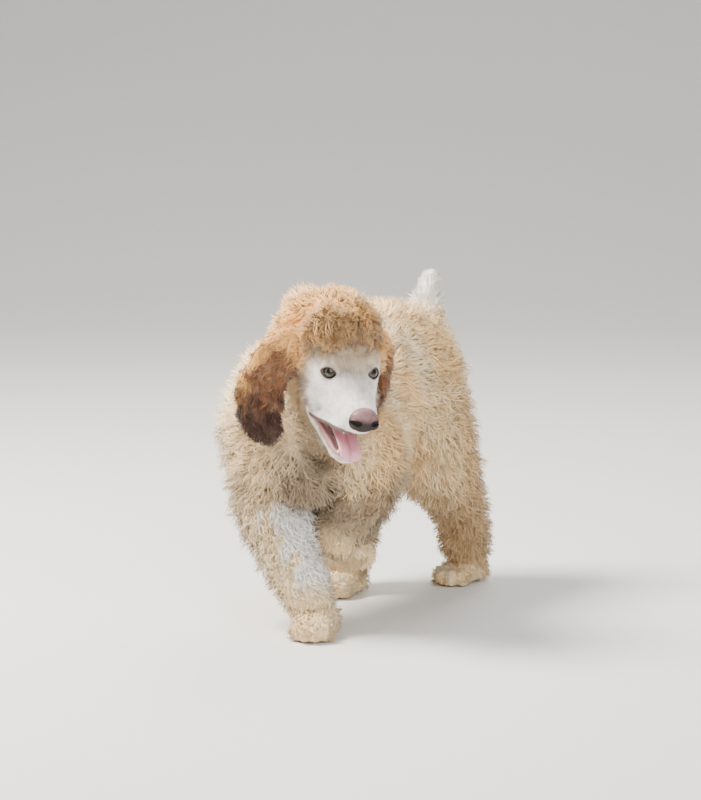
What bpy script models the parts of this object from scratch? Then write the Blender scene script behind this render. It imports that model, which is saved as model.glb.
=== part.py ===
"""Standard poodle puppy, about nine weeks old, walking with its head turned to its left.

Units are metres, +Z is up, the puppy walks towards -Y and its left side is +X. The origin is
on the floor, under the middle of the whole figure. A core of oval rings carries rounded clumps
of wool out to the tips of the coat. The nodes are cut from that one coat by flat faces, with a
gap of GAP between neighbours, so that the outline runs on from node to node.
"""

import math
import random

import bmesh
import bpy
from mathutils import Matrix, Vector
from mathutils.bvhtree import BVHTree

# Driving sizes
GAP = 0.0003
CORE_SHARE = 0.45
SPINE_RADIUS = 0.3786
SPINE_HALF_BEND = math.radians(16.0)
SPINE_CENTRE = Vector((SPINE_RADIUS * math.cos(SPINE_HALF_BEND), 0.0, 0.0))

# Share of a united solid's triangles that its merging keeps
COARSENESS = 0.285
HEAD_COARSENESS = 0.45

# Coat depths, from the skin to the tips
TORSO_COAT = 0.033
NECK_COAT = 0.030
UPPER_LEG_COAT = 0.027
LOWER_LEG_COAT = 0.021
PAW_COAT = 0.008
TOPKNOT_COAT = 0.044
TAIL_COAT = 0.012
EAR_COAT = 0.009

# Spacing of the clumps over the cores
TORSO_PITCH = 0.043
NECK_PITCH = 0.040
UPPER_LEG_PITCH = 0.038
LOWER_LEG_PITCH = 0.032
TOPKNOT_PITCH = 0.0240
TAIL_PITCH = 0.019
EAR_PITCH = 0.020

# The head: the point midway between the eyes, its turn from -Y to the left, its nod and its roll
EYE_LINE = Vector((0.0875, -0.1631, 0.2690))
HEAD_TURN = math.radians(49.5)
HEAD_NOD = math.radians(19.5)
HEAD_ROLL = math.radians(3.5)
EYE_SPREAD = 0.0205
EYE_RADIUS = 0.0088
JAW_DROP = math.radians(20.0)

# Torso rings: degrees along the spine, height, half width, rise above and drop below the middle
TORSO = (
    (-23.0, 0.196, 0.040, 0.042, 0.044),
    (-18.5, 0.202, 0.056, 0.062, 0.060),
    (-12.0, 0.206, 0.060, 0.067, 0.064),
    (-4.0, 0.209, 0.060, 0.066, 0.063),
    (4.0, 0.214, 0.053, 0.065, 0.057),
    (11.0, 0.220, 0.047, 0.066, 0.053),
    (17.0, 0.222, 0.044, 0.064, 0.052),
    (21.5, 0.222, 0.034, 0.048, 0.040),
)

# Limb paths from the trunk to the paw: point and skin radius
FORE_RIGHT = (
    ((-0.0370, -0.1110, 0.200), 0.034),
    ((-0.0270, -0.1210, 0.160), 0.0275),
    ((-0.0205, -0.1300, 0.125), 0.0240),
    ((-0.0020, -0.1375, 0.088), 0.0200),
    ((0.0205, -0.1450, 0.052), 0.0165),
    ((0.0390, -0.1490, 0.024), 0.0150),
)
FORE_LEFT = (
    ((0.0440, -0.0919, 0.196), 0.037),
    ((0.0490, -0.0770, 0.170), 0.033),
    ((0.0490, -0.0670, 0.146), 0.0255),
    ((0.0450, -0.0850, 0.118), 0.0200),
    ((0.0410, -0.1040, 0.094), 0.0165),
    ((0.0400, -0.1030, 0.082), 0.0150),
)
HIND_RIGHT = (
    ((-0.0230, 0.1040, 0.206), 0.037),
    ((-0.0370, 0.0780, 0.176), 0.036),
    ((-0.0450, 0.0590, 0.148), 0.0290),
    ((-0.0460, 0.0640, 0.112), 0.0200),
    ((-0.0450, 0.0700, 0.080), 0.0160),
    ((-0.0410, 0.0540, 0.042), 0.0150),
    ((-0.0400, 0.0460, 0.022), 0.0150),
)
HIND_LEFT = (
    ((0.0200, 0.0980, 0.206), 0.037),
    ((0.0300, 0.0920, 0.174), 0.036),
    ((0.0410, 0.0970, 0.142), 0.0290),
    ((0.0455, 0.1210, 0.110), 0.0200),
    ((0.0470, 0.1430, 0.082), 0.0160),
    ((0.0445, 0.1600, 0.044), 0.0150),
    ((0.0440, 0.1650, 0.022), 0.0150),
)

# Paws: heel on the floor, the way the toes point, and how far the sole is tipped back
PAW_LENGTH = 0.054
PAW_HALF_WIDTH = 0.0225
PAW_HEIGHT = 0.026
PAWS = {
    "fore_right": ((0.0400, -0.1400, 0.0), (0.35, -0.94), 0.0),
    "fore_left": ((0.0400, -0.1130, 0.0790), (-0.02, 1.0), 28.0),
    "hind_right": ((-0.0390, 0.0560, 0.0), (0.10, -1.0), 0.0),
    "hind_left": ((0.0440, 0.1780, 0.0), (-0.05, -1.0), 0.0),
}

# Neck and tail: point, half width, half depth
NECK = (
    ((-0.002, -0.098, 0.205), 0.049, 0.052),
    ((0.010, -0.107, 0.228), 0.045, 0.048),
    ((0.026, -0.113, 0.248), 0.041, 0.043),
    ((0.044, -0.122, 0.266), 0.037, 0.039),
)
TAIL = (
    ((0.0090, 0.128, 0.248), 0.0120),
    ((0.0085, 0.138, 0.274), 0.0095),
    ((0.0070, 0.144, 0.296), 0.0075),
    ((0.0050, 0.149, 0.316), 0.0060),
    ((0.0040, 0.152, 0.331), 0.0040),
)

COLOURS = {
    "coat_apricot": ((0.66, 0.47, 0.29), 0.9),
    "coat_cream": ((0.78, 0.68, 0.54), 0.9),
    "coat_white": ((0.85, 0.82, 0.78), 0.9),
    "ear_brown": ((0.24, 0.11, 0.05), 0.85),
    "nose_leather": ((0.22, 0.11, 0.10), 0.45),
    "tongue_pink": ((0.70, 0.32, 0.36), 0.4),
    "eye_hazel": ((0.09, 0.06, 0.04), 0.1),
}


def material(name):
    """The named finish, made once."""
    found = bpy.data.materials.get(name)
    if found:
        return found
    colour, roughness = COLOURS[name]
    made = bpy.data.materials.new(name)
    made.use_nodes = True
    shader = made.node_tree.nodes["Principled BSDF"]
    shader.inputs["Base Color"].default_value = (*colour, 1.0)
    shader.inputs["Roughness"].default_value = roughness
    shader.inputs["Metallic"].default_value = 0.0
    return made


def head_axes():
    """The head's forward, left and up directions."""
    turn = Matrix.Rotation(HEAD_TURN, 3, "Z")
    nod = Matrix.Rotation(HEAD_NOD, 3, "X")
    roll = Matrix.Rotation(HEAD_ROLL, 3, "Y")
    pose = turn @ nod @ roll
    return pose @ Vector((0, -1, 0)), pose @ Vector((1, 0, 0)), pose @ Vector((0, 0, 1))


FORWARD, LEFT, UP = head_axes()
HEAD_AXES = (FORWARD, LEFT, UP)


def head_point(forward, left, up):
    """A point given in the head's own directions from midway between the eyes."""
    return EYE_LINE + FORWARD * forward + LEFT * left + UP * up


def head_place(point):
    """The forward, left and up distances of a point from midway between the eyes."""
    offset = point - EYE_LINE
    return offset.dot(FORWARD), offset.dot(LEFT), offset.dot(UP)


def spine_point(degrees, height):
    """A point over the curved line of the back, with the direction to the left of it."""
    angle = math.radians(degrees)
    across = Vector((math.cos(angle), -math.sin(angle), 0.0))
    point = SPINE_CENTRE - SPINE_RADIUS * across
    return Vector((point.x, point.y, height)), across


def oval(centre, side, up, half_width, rise, drop, count, square=1.0):
    """A ring of points round a centre; square under 1 makes its lower half boxier."""
    ring = []
    for k in range(count):
        angle = 2 * math.pi * k / count
        across, lift = math.cos(angle), math.sin(angle)
        if lift < 0:
            across = math.copysign(abs(across) ** square, across)
            lift = -(abs(lift) ** square)
        height = lift * (rise if lift > 0 else drop)
        ring.append(centre + side * (half_width * across) + up * height)
    return ring


def tube_rings(path, radii, count, flat=1.0):
    """Round rings square to a path of points; flat scales them across the first side."""
    points = [Vector(p) for p in path]
    rings = []
    side = None
    for k, point in enumerate(points):
        ahead = points[min(k + 1, len(points) - 1)] - points[max(k - 1, 0)]
        ahead.normalize()
        if side is None:
            side = ahead.cross(Vector((0.0, 1.0, 0.0)))
        side = (side - ahead * side.dot(ahead)).normalized()
        up = side.cross(ahead)
        rings.append(oval(point, side, up, radii[k] * flat, radii[k], radii[k], count))
    return rings


def mesh_object(name, points, faces):
    """A mesh object with its faces turned outwards."""
    mesh = bpy.data.meshes.new(name)
    mesh.from_pydata([tuple(p) for p in points], [], faces)
    work = bmesh.new()
    work.from_mesh(mesh)
    bmesh.ops.recalc_face_normals(work, faces=work.faces)
    if work.calc_volume(signed=True) < 0:
        bmesh.ops.reverse_faces(work, faces=work.faces)
    bmesh.ops.triangulate(work, faces=work.faces)
    work.to_mesh(mesh)
    work.free()
    return bpy.data.objects.new(name, mesh)


def mean(ring):
    """The middle of a ring."""
    return sum(ring, Vector()) / len(ring)


def skinned(name, rings, bulge=0.35):
    """A closed solid through the rings, with a low point on each end."""
    count = len(rings[0])
    points = [p for ring in rings for p in ring]
    faces = []
    for row in range(len(rings) - 1):
        for k in range(count):
            a = row * count + k
            b = row * count + (k + 1) % count
            faces.append((a, b, b + count, a + count))
    for row, inner in ((0, 1), (len(rings) - 1, len(rings) - 2)):
        centre = mean(rings[row])
        size = (rings[row][0] - centre).length
        out = (centre - mean(rings[inner])).normalized() * (size * bulge)
        points.append(centre + out)
        for k in range(count):
            faces.append((row * count + k, row * count + (k + 1) % count, len(points) - 1))
    return mesh_object(name, points, faces)


def grown(rings, by):
    """The rings moved out from their middles by one depth."""
    made = []
    for ring in rings:
        centre = mean(ring)
        made.append([p + (p - centre).normalized() * by for p in ring])
    return made


def ball(name, centre, radii, axes, detail=2):
    """An ellipsoid with its own three directions."""
    work = bmesh.new()
    bmesh.ops.create_icosphere(work, subdivisions=detail, radius=1.0)
    for vertex in work.verts:
        share = vertex.co.copy()
        vertex.co = centre
        for axis, radius, amount in zip(axes, radii, share):
            vertex.co += axis * (radius * amount)
    points = [v.co.copy() for v in work.verts]
    faces = [tuple(v.index for v in f.verts) for f in work.faces]
    work.free()
    return mesh_object(name, points, faces)


def tree_of(thing):
    """A tree for finding the nearest face of a solid."""
    points = [v.co for v in thing.data.vertices]
    return BVHTree.FromPolygons(points, [tuple(p.vertices) for p in thing.data.polygons])


def depth_in(tree, point):
    """How far a point lies under a solid's surface; less than zero outside it."""
    spot, normal, _, distance = tree.find_nearest(point)
    return distance if (point - spot).dot(normal) < 0 else -distance


def scatter(core, pitch, rng, keep):
    """Places spread over a core, no two nearer than the pitch, as (point, outward)."""
    mesh = core.data
    mesh.calc_loop_triangles()
    normals = [n.vector.copy() for n in mesh.vertex_normals]
    triangles = [tuple(t.vertices) for t in mesh.loop_triangles]
    areas = [t.area for t in mesh.loop_triangles]
    tries = int(60 * sum(areas) / pitch**2)
    places = []
    for index in rng.choices(range(len(triangles)), areas, k=tries):
        a, b, c = triangles[index]
        u, v = sorted((rng.random(), rng.random()))
        shares = (u, v - u, 1 - v)
        point = Vector()
        outward = Vector()
        for corner, share in zip((a, b, c), shares):
            point += mesh.vertices[corner].co * share
            outward += normals[corner] * share
        if not keep(point):
            continue
        if all((point - other).length > pitch * 0.80 for other, _ in places):
            places.append((point, outward.normalized()))
    return places


# Share of the length, and swell, of a clump's rings
CLUMP_RINGS = ((0.0, 0.72), (0.48, 1.0), (0.82, 0.66))
CLUMP_SIDES = 6


def clump(place, lie, reach, width, lean, sink, rng, thin=1.0):
    """One rounded clump of wool, rooted under its place and leaning along the lie."""
    point, outward = place
    lie = (lie - outward * lie.dot(outward)).normalized()
    side = outward.cross(lie)
    spin = rng.uniform(0, math.pi / 3)
    reach = reach * rng.uniform(0.84, 1.08)
    width = width * rng.uniform(0.90, 1.12)
    drift = side * (rng.uniform(-0.3, 0.3) * width)
    rings = []
    for share, swell in CLUMP_RINGS:
        centre = point + outward * ((reach + sink) * share - sink)
        centre += lie * (lean * share**2) + drift * share**2
        rings.append(oval(centre, side, lie, swell * width, swell * width * thin, 0, CLUMP_SIDES))
        ring = rings[-1]
        for k in range(CLUMP_SIDES):
            angle = spin + 2 * math.pi * k / CLUMP_SIDES
            across = side * (math.cos(angle) * swell * width)
            ring[k] = centre + across + lie * (math.sin(angle) * swell * width * thin)
    points = [p for ring in rings for p in ring]
    points.append(point - outward * (sink * 1.25))
    points.append(point + outward * reach + lie * lean + drift)
    faces = []
    for row in range(len(rings) - 1):
        for k in range(CLUMP_SIDES):
            a = row * CLUMP_SIDES + k
            b = row * CLUMP_SIDES + (k + 1) % CLUMP_SIDES
            faces.append((a, b, b + CLUMP_SIDES, a + CLUMP_SIDES))
    last = (len(rings) - 1) * CLUMP_SIDES
    for k in range(CLUMP_SIDES):
        after = (k + 1) % CLUMP_SIDES
        faces.append((k, after, len(points) - 2))
        faces.append((last + k, last + after, len(points) - 1))
    return mesh_object("clump", points, faces)


def combine(base, others, operation):
    """One Boolean of a solid with several others, applied, and the others removed."""
    if not others:
        return base
    scene = bpy.context.scene.collection
    group = bpy.data.collections.new("operands")
    scene.children.link(group)
    for other in others:
        group.objects.link(other)
    scene.objects.link(base)
    modifier = base.modifiers.new("combine", "BOOLEAN")
    modifier.operation = operation
    modifier.solver = "MANIFOLD"
    modifier.operand_type = "COLLECTION"
    modifier.collection = group
    graph = bpy.context.evaluated_depsgraph_get()
    mesh = bpy.data.meshes.new_from_object(base.evaluated_get(graph))
    name = base.name
    bpy.data.objects.remove(base)
    for other in others:
        bpy.data.objects.remove(other)
    bpy.data.collections.remove(group)
    return bpy.data.objects.new(name, mesh)


def thinned(thing, share):
    """A copy of a solid with the slivers along its crossings merged away."""
    copy = bpy.data.objects.new(thing.name, thing.data.copy())
    bpy.context.scene.collection.objects.link(copy)
    modifier = copy.modifiers.new("merge", "DECIMATE")
    modifier.ratio = share
    modifier.use_collapse_triangulate = True
    graph = bpy.context.evaluated_depsgraph_get()
    mesh = bpy.data.meshes.new_from_object(copy.evaluated_get(graph))
    bpy.data.objects.remove(copy)
    return bpy.data.objects.new(thing.name, mesh)


def edge_uses(mesh, index):
    """How many triangles use each edge of a mesh, with its points numbered by the index."""
    uses = {}
    for triangle in mesh.loop_triangles:
        a, b, c = (index[k] for k in triangle.vertices)
        if a == b or b == c or a == c:
            continue
        for edge in ((a, b), (b, c), (c, a)):
            key = (min(edge), max(edge))
            uses[key] = uses.get(key, 0) + 1
    return uses.values()


def sound(thing):
    """Whether every edge has two faces, also with points 0.0001 mm apart taken as one."""
    mesh = thing.data
    mesh.calc_loop_triangles()
    spots = {}
    merged = [spots.setdefault(tuple(round(x * 1e7) for x in v.co), len(spots)) for v in mesh.vertices]
    for index in (range(len(mesh.vertices)), merged):
        uses = edge_uses(mesh, index)
        if not uses or any(count != 2 for count in uses):
            return False
    return True


def joined(solids, cut, share=COARSENESS):
    """One solid from many, thinned and then cut, at the first share that leaves it sound."""
    united = combine(solids[0], solids[1:], "UNION")
    for more in (0.0, 0.012, -0.012, 0.024, 0.04, 0.06, 0.10, 0.15, 0.25, 0.40):
        thing = thinned(united, share + more)
        if sound(thing):
            thing = largest_piece(cut(thing))
        if sound(thing):
            bpy.data.objects.remove(united)
            return thing
        bpy.data.objects.remove(thing)
    return largest_piece(cut(united))


def cell(faces, grow):
    """The convex region inside some planes, each a point and its outward normal."""
    work = bmesh.new()
    bmesh.ops.create_cube(work, size=1.0)
    for point, normal in faces:
        outward = Vector(normal).normalized()
        bmesh.ops.bisect_plane(
            work,
            geom=work.verts[:] + work.edges[:] + work.faces[:],
            dist=1e-7,
            plane_co=Vector(point) + outward * grow,
            plane_no=outward,
            clear_outer=True,
        )
        open_edges = [e for e in work.edges if len(e.link_faces) == 1]
        bmesh.ops.holes_fill(work, edges=open_edges, sides=0)
    work.verts.index_update()
    points = [v.co.copy() for v in work.verts]
    made = [tuple(v.index for v in f.verts) for f in work.faces]
    work.free()
    return mesh_object("cell", points, made)


def volume_of(faces):
    """Six times the signed volume behind some triangles."""
    total = 0.0
    for face in faces:
        a, b, c = (v.co for v in face.verts)
        total += a.dot(b.cross(c))
    return total


def around_edge(edge):
    """An edge's faces in order round it, as (angle, face, whether the solid follows it)."""
    start, end = edge.verts
    axis = (end.co - start.co).normalized()
    found = []
    for face in edge.link_faces:
        third = next(v for v in face.verts if v not in (start, end))
        arm = third.co - start.co
        arm = (arm - axis * arm.dot(axis)).normalized()
        if not found:
            first, second = arm, axis.cross(arm)
        angle = math.atan2(arm.dot(second), arm.dot(first)) % (2 * math.pi)
        found.append((angle, face, face.normal.dot(axis.cross(arm)) < 0))
    found.sort(key=lambda item: item[0])
    return found, first, second


def part_edges(work):
    """Where two sheets share one edge, gives one sheet its own middle point, a little inside."""
    for edge in [e for e in work.edges if len(e.link_faces) == 4]:
        if not edge.is_valid or len(edge.link_faces) != 4:
            continue
        start, end = edge.verts
        found, first, second = around_edge(edge)
        at = next((k for k in range(4) if found[k][2]), 0)
        one, two = found[at], found[(at + 1) % 4]
        angle = one[0] + ((two[0] - one[0]) % (2 * math.pi)) / 2
        inward = first * math.cos(angle) + second * math.sin(angle)
        corners = [list(face.verts) for face in (one[1], two[1])]
        flat = set(corners[0]) == set(corners[1])
        for face in (one[1], two[1]):
            work.faces.remove(face)
        if flat:
            continue
        middle = work.verts.new((start.co + end.co) / 2 + inward * 3e-5)
        for around in corners:
            work.faces.new([middle if v is end else v for v in around]).normal_update()
            work.faces.new([middle if v is start else v for v in around]).normal_update()
    loose = [e for e in work.edges if not e.link_faces]
    bmesh.ops.delete(work, geom=loose, context="EDGES")
    lonely = [v for v in work.verts if not v.link_faces]
    bmesh.ops.delete(work, geom=lonely, context="VERTS")


def largest_piece(thing):
    """The solid without any scrap that a cut left loose."""
    work = bmesh.new()
    work.from_mesh(thing.data)
    bmesh.ops.triangulate(work, faces=work.faces)
    left = set(work.faces)
    islands = []
    while left:
        stack = [left.pop()]
        island = set(stack)
        while stack:
            for edge in stack.pop().edges:
                for other in edge.link_faces:
                    if other in left:
                        left.discard(other)
                        island.add(other)
                        stack.append(other)
        islands.append(island)
    keep = max(islands, key=volume_of)
    bmesh.ops.delete(work, geom=[f for f in work.faces if f not in keep], context="FACES")
    bmesh.ops.dissolve_degenerate(work, dist=2e-6, edges=work.edges)
    bmesh.ops.triangulate(work, faces=work.faces)
    part_edges(work)
    work.to_mesh(thing.data)
    work.free()
    return thing


def inside(region, point, margin=0.0):
    """Whether a point lies in a region of planes, by more than the margin."""
    for at, normal in region:
        if (point - Vector(at)).dot(Vector(normal).normalized()) > -margin:
            return False
    return True


def opposite(plane):
    """The same cut, seen from the other side."""
    point, normal = plane
    return point, tuple(-x for x in normal)


# Cuts between the nodes, each a point and the normal that leads out of the first node named
HEAD_NECK = ((0.036, -0.116, 0.254), (-0.684, 0.228, -0.693))
NECK_CHEST = ((0.012, -0.110, 0.232), (-0.45, 0.25, -0.857))
NECK_WITHERS = ((-0.006, -0.080, 0.260), (-0.15, 0.93, 0.10))
BETWEEN_FORE = ((0.013, -0.103, 0.130), (0.537, 0.765, -0.047))
BETWEEN_HIND = ((-0.001, 0.080, 0.100), (0.99, -0.10, 0.0))
FORE_BEHIND = ((0.0, -0.022, 0.140), (0.0, 0.99, 0.07))
HIND_AHEAD = ((0.0, 0.006, 0.150), (0.0, -0.970, 0.243))
FLOOR = ((0.0, 0.0, 0.0), (0.0, 0.0, -1.0))
LEG_TOPS = {
    "fore_right": ((-0.030, -0.12, 0.140), (0.40, 0.0, 0.92)),
    "fore_left": ((0.048, -0.08, 0.140), (-0.40, 0.0, 0.92)),
    "hind_right": ((-0.040, 0.10, 0.160), (0.46, 0.0, 0.89)),
    "hind_left": ((0.042, 0.10, 0.160), (-0.46, 0.0, 0.89)),
}
TAIL_REGION = (
    ((0.0075, 0.142, 0.292), (0.06, -0.20, -0.98)),
    ((0.0, 0.124, 0.300), (0.0, -1.0, 0.0)),
    ((0.028, 0.14, 0.300), (1.0, 0.0, 0.0)),
    ((-0.016, 0.14, 0.300), (-1.0, 0.0, 0.0)),
)
HEAD_REGION = (HEAD_NECK,)
NECK_REGION = (NECK_CHEST, NECK_WITHERS, opposite(HEAD_NECK))


def leg_region(name):
    """The space that one leg has to itself, from the trunk to the floor."""
    between = BETWEEN_FORE if name.startswith("fore") else BETWEEN_HIND
    if name in ("fore_left", "hind_left"):
        between = opposite(between)
    end = FORE_BEHIND if name.startswith("fore") else HIND_AHEAD
    return (LEG_TOPS[name], between, end, FLOOR)


LEGS = {
    "fore_right": FORE_RIGHT,
    "fore_left": FORE_LEFT,
    "hind_right": HIND_RIGHT,
    "hind_left": HIND_LEFT,
}

# Each coat solid: an unlinked object that any number of nodes may take a copy of
COAT = []


def taken(region, margin=0.002):
    """Copies of the coat's solids that reach into a region."""
    found = []
    for thing in COAT:
        if any(inside(region, v.co, -margin) for v in thing.data.vertices):
            found.append(bpy.data.objects.new(thing.name, thing.data.copy()))
    return found


def within(region):
    """A cut that keeps what lies in a region."""
    return lambda thing: combine(thing, [cell(region, -GAP / 2)], "INTERSECT")


def named(thing, name, finish_name):
    """Gives a finished solid its name and finish and puts it in the scene."""
    thing.name = name
    thing.data.name = name
    thing.data.materials.clear()
    thing.data.materials.append(material(finish_name))
    bpy.context.scene.collection.objects.link(thing)
    return thing


def torso_rings():
    """The trunk's skin, from the breast to the rump."""
    rings = []
    for degrees, height, half_width, rise, drop in TORSO:
        centre, across = spine_point(degrees, height)
        rings.append(oval(centre, across, Vector((0, 0, 1)), half_width, rise, drop, 16))
    return rings


def neck_rings():
    """The neck's skin, from the chest to the skull."""
    rings = tube_rings([p for p, _, _ in NECK], [deep for _, _, deep in NECK], 14)
    made = []
    for ring, (_, wide, deep) in zip(rings, NECK):
        centre = mean(ring)
        side = (ring[0] - centre).normalized()
        narrow = wide / deep - 1
        made.append([p + side * ((p - centre).dot(side) * narrow) for p in ring])
    return made


def down_the_limb(rings):
    """A function giving the lie of the wool along a run of rings."""
    middles = [mean(ring) for ring in rings]

    def lie(point):
        best = min(range(len(middles)), key=lambda k: (middles[k] - point).length)
        ahead = middles[min(best + 1, len(middles) - 1)] - middles[max(best - 1, 0)]
        return ahead.normalized()

    return lie


def torso_lie(point):
    """Back along the body and a little down."""
    away = Vector((point.x, point.y, 0.0)) - SPINE_CENTRE
    back = Vector((away.y, -away.x, 0.0)).normalized()
    return (back * 0.8 + Vector((0, 0, -0.5))).normalized()


def add_core(name, rings, depth, pitch, lie, lean=0.30, low=-1.0):
    """Adds a core to the coat's solids and returns what its clumps will need."""
    core = skinned("core_" + name, grown(rings, depth * CORE_SHARE), 0.45)
    COAT.append(core)
    return core, tree_of(core), depth, pitch, lie, lean, low


def add_clumps(layers, rng):
    """Spreads clumps over every core, none of them buried in another core or too near a clump."""
    done = []
    for core, tree, depth, pitch, lie, lean, low in layers:
        reach = depth * (1 - CORE_SHARE)
        others = [layer[1] for layer in layers if layer[0] is not core]

        def clear(point):
            if point.z < low or any((point - spot).length < 0.74 * pitch for spot in done):
                return False
            return all(depth_in(other, point) < reach * 0.3 for other in others)

        places = scatter(core, pitch, rng, clear)
        for place in places:
            done.append(place[0])
            direction = lie(place[0])
            COAT.append(clump(place, direction, reach, pitch * 0.6, depth * lean, reach * 0.4, rng))


def build_trunk_coat():
    """The wool of the trunk, the neck, the four legs and the tail."""
    torso = torso_rings()
    neck = neck_rings()
    tail = tube_rings([p for p, _ in TAIL], [r for _, r in TAIL], 10)
    up_the_neck = down_the_limb(neck)
    layers = [
        add_core("torso", torso, TORSO_COAT, TORSO_PITCH, torso_lie),
        add_core("neck", neck, NECK_COAT, NECK_PITCH, lambda point: -up_the_neck(point)),
        add_core("tail", tail, TAIL_COAT, TAIL_PITCH, down_the_limb(tail), 0.5),
    ]
    for name, path in LEGS.items():
        rings = tube_rings([p for p, _ in path], [r for _, r in path], 12)
        lie = down_the_limb(rings)
        layers.append(add_core(name, rings[:4], UPPER_LEG_COAT, UPPER_LEG_PITCH, lie))
        layers.append(add_core(name, rings[2:], LOWER_LEG_COAT, LOWER_LEG_PITCH, lie, low=0.017))
    add_clumps(layers, random.Random(11))


def trunk_cutters():
    """Everything that is cleared from the torso: the regions of its neighbours."""
    regions = [leg_region(name) for name in LEGS] + [NECK_REGION, TAIL_REGION, HEAD_REGION]
    return regions


def build_trunk_nodes():
    """Cuts the shared coat into the torso, the neck and the tail."""
    regions = trunk_cutters()
    near = []
    for thing in COAT:
        if any(not any(inside(r, v.co, 0.003) for r in regions) for v in thing.data.vertices):
            near.append(bpy.data.objects.new(thing.name, thing.data.copy()))

    def clear_torso(thing):
        thing = combine(thing, [cell(region, GAP / 2) for region in regions], "DIFFERENCE")
        return combine(thing, [ear_envelope(side, GAP / 2) for side in (-1, 1)], "DIFFERENCE")

    def clear_neck(thing):
        thing = within(NECK_REGION)(thing)
        cutters = [ear_envelope(side, GAP / 2) for side in (-1, 1)]
        return combine(thing, [*cutters, cell(jaw_region(), GAP / 2)], "DIFFERENCE")

    named(joined(near, clear_torso), "torso", "coat_apricot")
    named(joined(taken(NECK_REGION), clear_neck), "neck", "coat_apricot")
    named(joined(taken(TAIL_REGION), within(TAIL_REGION)), "tail", "coat_white")


def paw_frame(name):
    """A paw's heel and the directions ahead, to the side and up."""
    heel, heading, tip = PAWS[name]
    ahead = Vector((heading[0], heading[1], 0.0)).normalized()
    side = ahead.cross(Vector((0, 0, 1)))
    turn = Matrix.Rotation(math.radians(-tip), 3, side)
    return Vector(heel), turn @ ahead, side, turn @ Vector((0, 0, 1))


# Paw sections: share of the length, of the width and of the height
PAW_SECTIONS = (
    (-0.10, 0.55, 0.80),
    (0.12, 0.86, 1.05),
    (0.40, 1.00, 1.00),
    (0.66, 1.00, 0.84),
    (0.84, 0.84, 0.66),
)
# Tufts over a paw: share of the length, of the half width and of the height
PAW_TUFTS = (
    (0.30, -0.9, 0.42),
    (0.30, 0.9, 0.42),
    (0.55, 0.0, 0.80),
    (0.50, -0.65, 0.72),
    (0.50, 0.65, 0.72),
)


def paw_parts(name, rng):
    """A paw's core, its four toes and its tufts."""
    start, ahead, side, up = paw_frame(name)
    rings = []
    for share, wide, tall in PAW_SECTIONS:
        centre = start + ahead * (share * PAW_LENGTH) + up * (PAW_HEIGHT * 0.42)
        half = PAW_HALF_WIDTH * wide
        rings.append(oval(centre, side, up, half, PAW_HEIGHT * 0.62 * tall, PAW_HEIGHT * 0.50, 10))
    parts = [skinned(name + "_paw", rings, 0.5)]
    for k, across in enumerate((-0.66, -0.23, 0.23, 0.66)):
        reach = 0.80 if k in (0, 3) else 0.92
        centre = start + ahead * (reach * PAW_LENGTH) + side * (across * PAW_HALF_WIDTH)
        centre += up * (PAW_HEIGHT * 0.34)
        radii = (PAW_LENGTH * 0.19, PAW_HALF_WIDTH * 0.31, PAW_HEIGHT * 0.46)
        parts.append(ball("toe", centre, radii, (ahead, side, up), 1))
    for share, across, lift in PAW_TUFTS:
        point = start + ahead * (share * PAW_LENGTH) + side * (across * PAW_HALF_WIDTH)
        point += up * (PAW_HEIGHT * lift)
        outward = (side * across + up * lift).normalized()
        parts.append(clump((point, outward), ahead, PAW_COAT, 0.012, 0.008, 0.008, rng))
    return parts


# The cut above the lifted paw, which folds back under its forearm
LIFTED_WRIST = (Vector((0.040, -0.100, 0.087)), Vector((0.0, 0.10, -0.995)))


def leg_cuts(name):
    """The cuts at a leg's elbow or knee and above its paw, leading down the leg."""
    points = [Vector(p) for p, _ in LEGS[name]]
    down = (points[3] - points[1]).normalized()
    below = (points[5] - points[4]).normalized()
    last = 0.35 if name.startswith("fore") else 0.85
    wrist = points[4].lerp(points[5], last)
    if name == "fore_left":
        wrist, below = LIFTED_WRIST
    return (points[2] + down * 0.004, tuple(down)), (wrist, tuple(below))


def build_leg(name, seed):
    """One leg as an upper part, a lower part and a paw."""
    region = leg_region(name)
    knee, wrist = leg_cuts(name)
    finish_name = "coat_cream" if name == "fore_right" else "coat_apricot"
    upper = (*region, knee)
    lower = (*region, opposite(knee), wrist)
    paw = [opposite(wrist), region[1], region[2], FLOOR]
    for word, part in (("_upper", upper), ("_lower", lower)):
        named(joined(taken(part), within(part)), name + word, finish_name)
    solids = paw_parts(name, random.Random(seed)) + taken(paw)
    named(joined(solids, within(paw)), name + "_paw", "coat_cream")


# Head rings: forward, middle height, half width, rise, drop
SKULL = (
    (0.0580, -0.0250, 0.0130, 0.0100, 0.0128),
    (0.0500, -0.0250, 0.0172, 0.0132, 0.0165),
    (0.0370, -0.0235, 0.0204, 0.0158, 0.0205),
    (0.0240, -0.0200, 0.0230, 0.0184, 0.0255),
    (0.0120, -0.0150, 0.0264, 0.0214, 0.0320),
    (0.0000, -0.0080, 0.0325, 0.0264, 0.0380),
    (-0.0180, -0.0010, 0.0378, 0.0315, 0.0400),
    (-0.0400, 0.0020, 0.0390, 0.0340, 0.0420),
    (-0.0600, 0.0030, 0.0350, 0.0310, 0.0380),
    (-0.0770, 0.0030, 0.0260, 0.0230, 0.0290),
)
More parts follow.
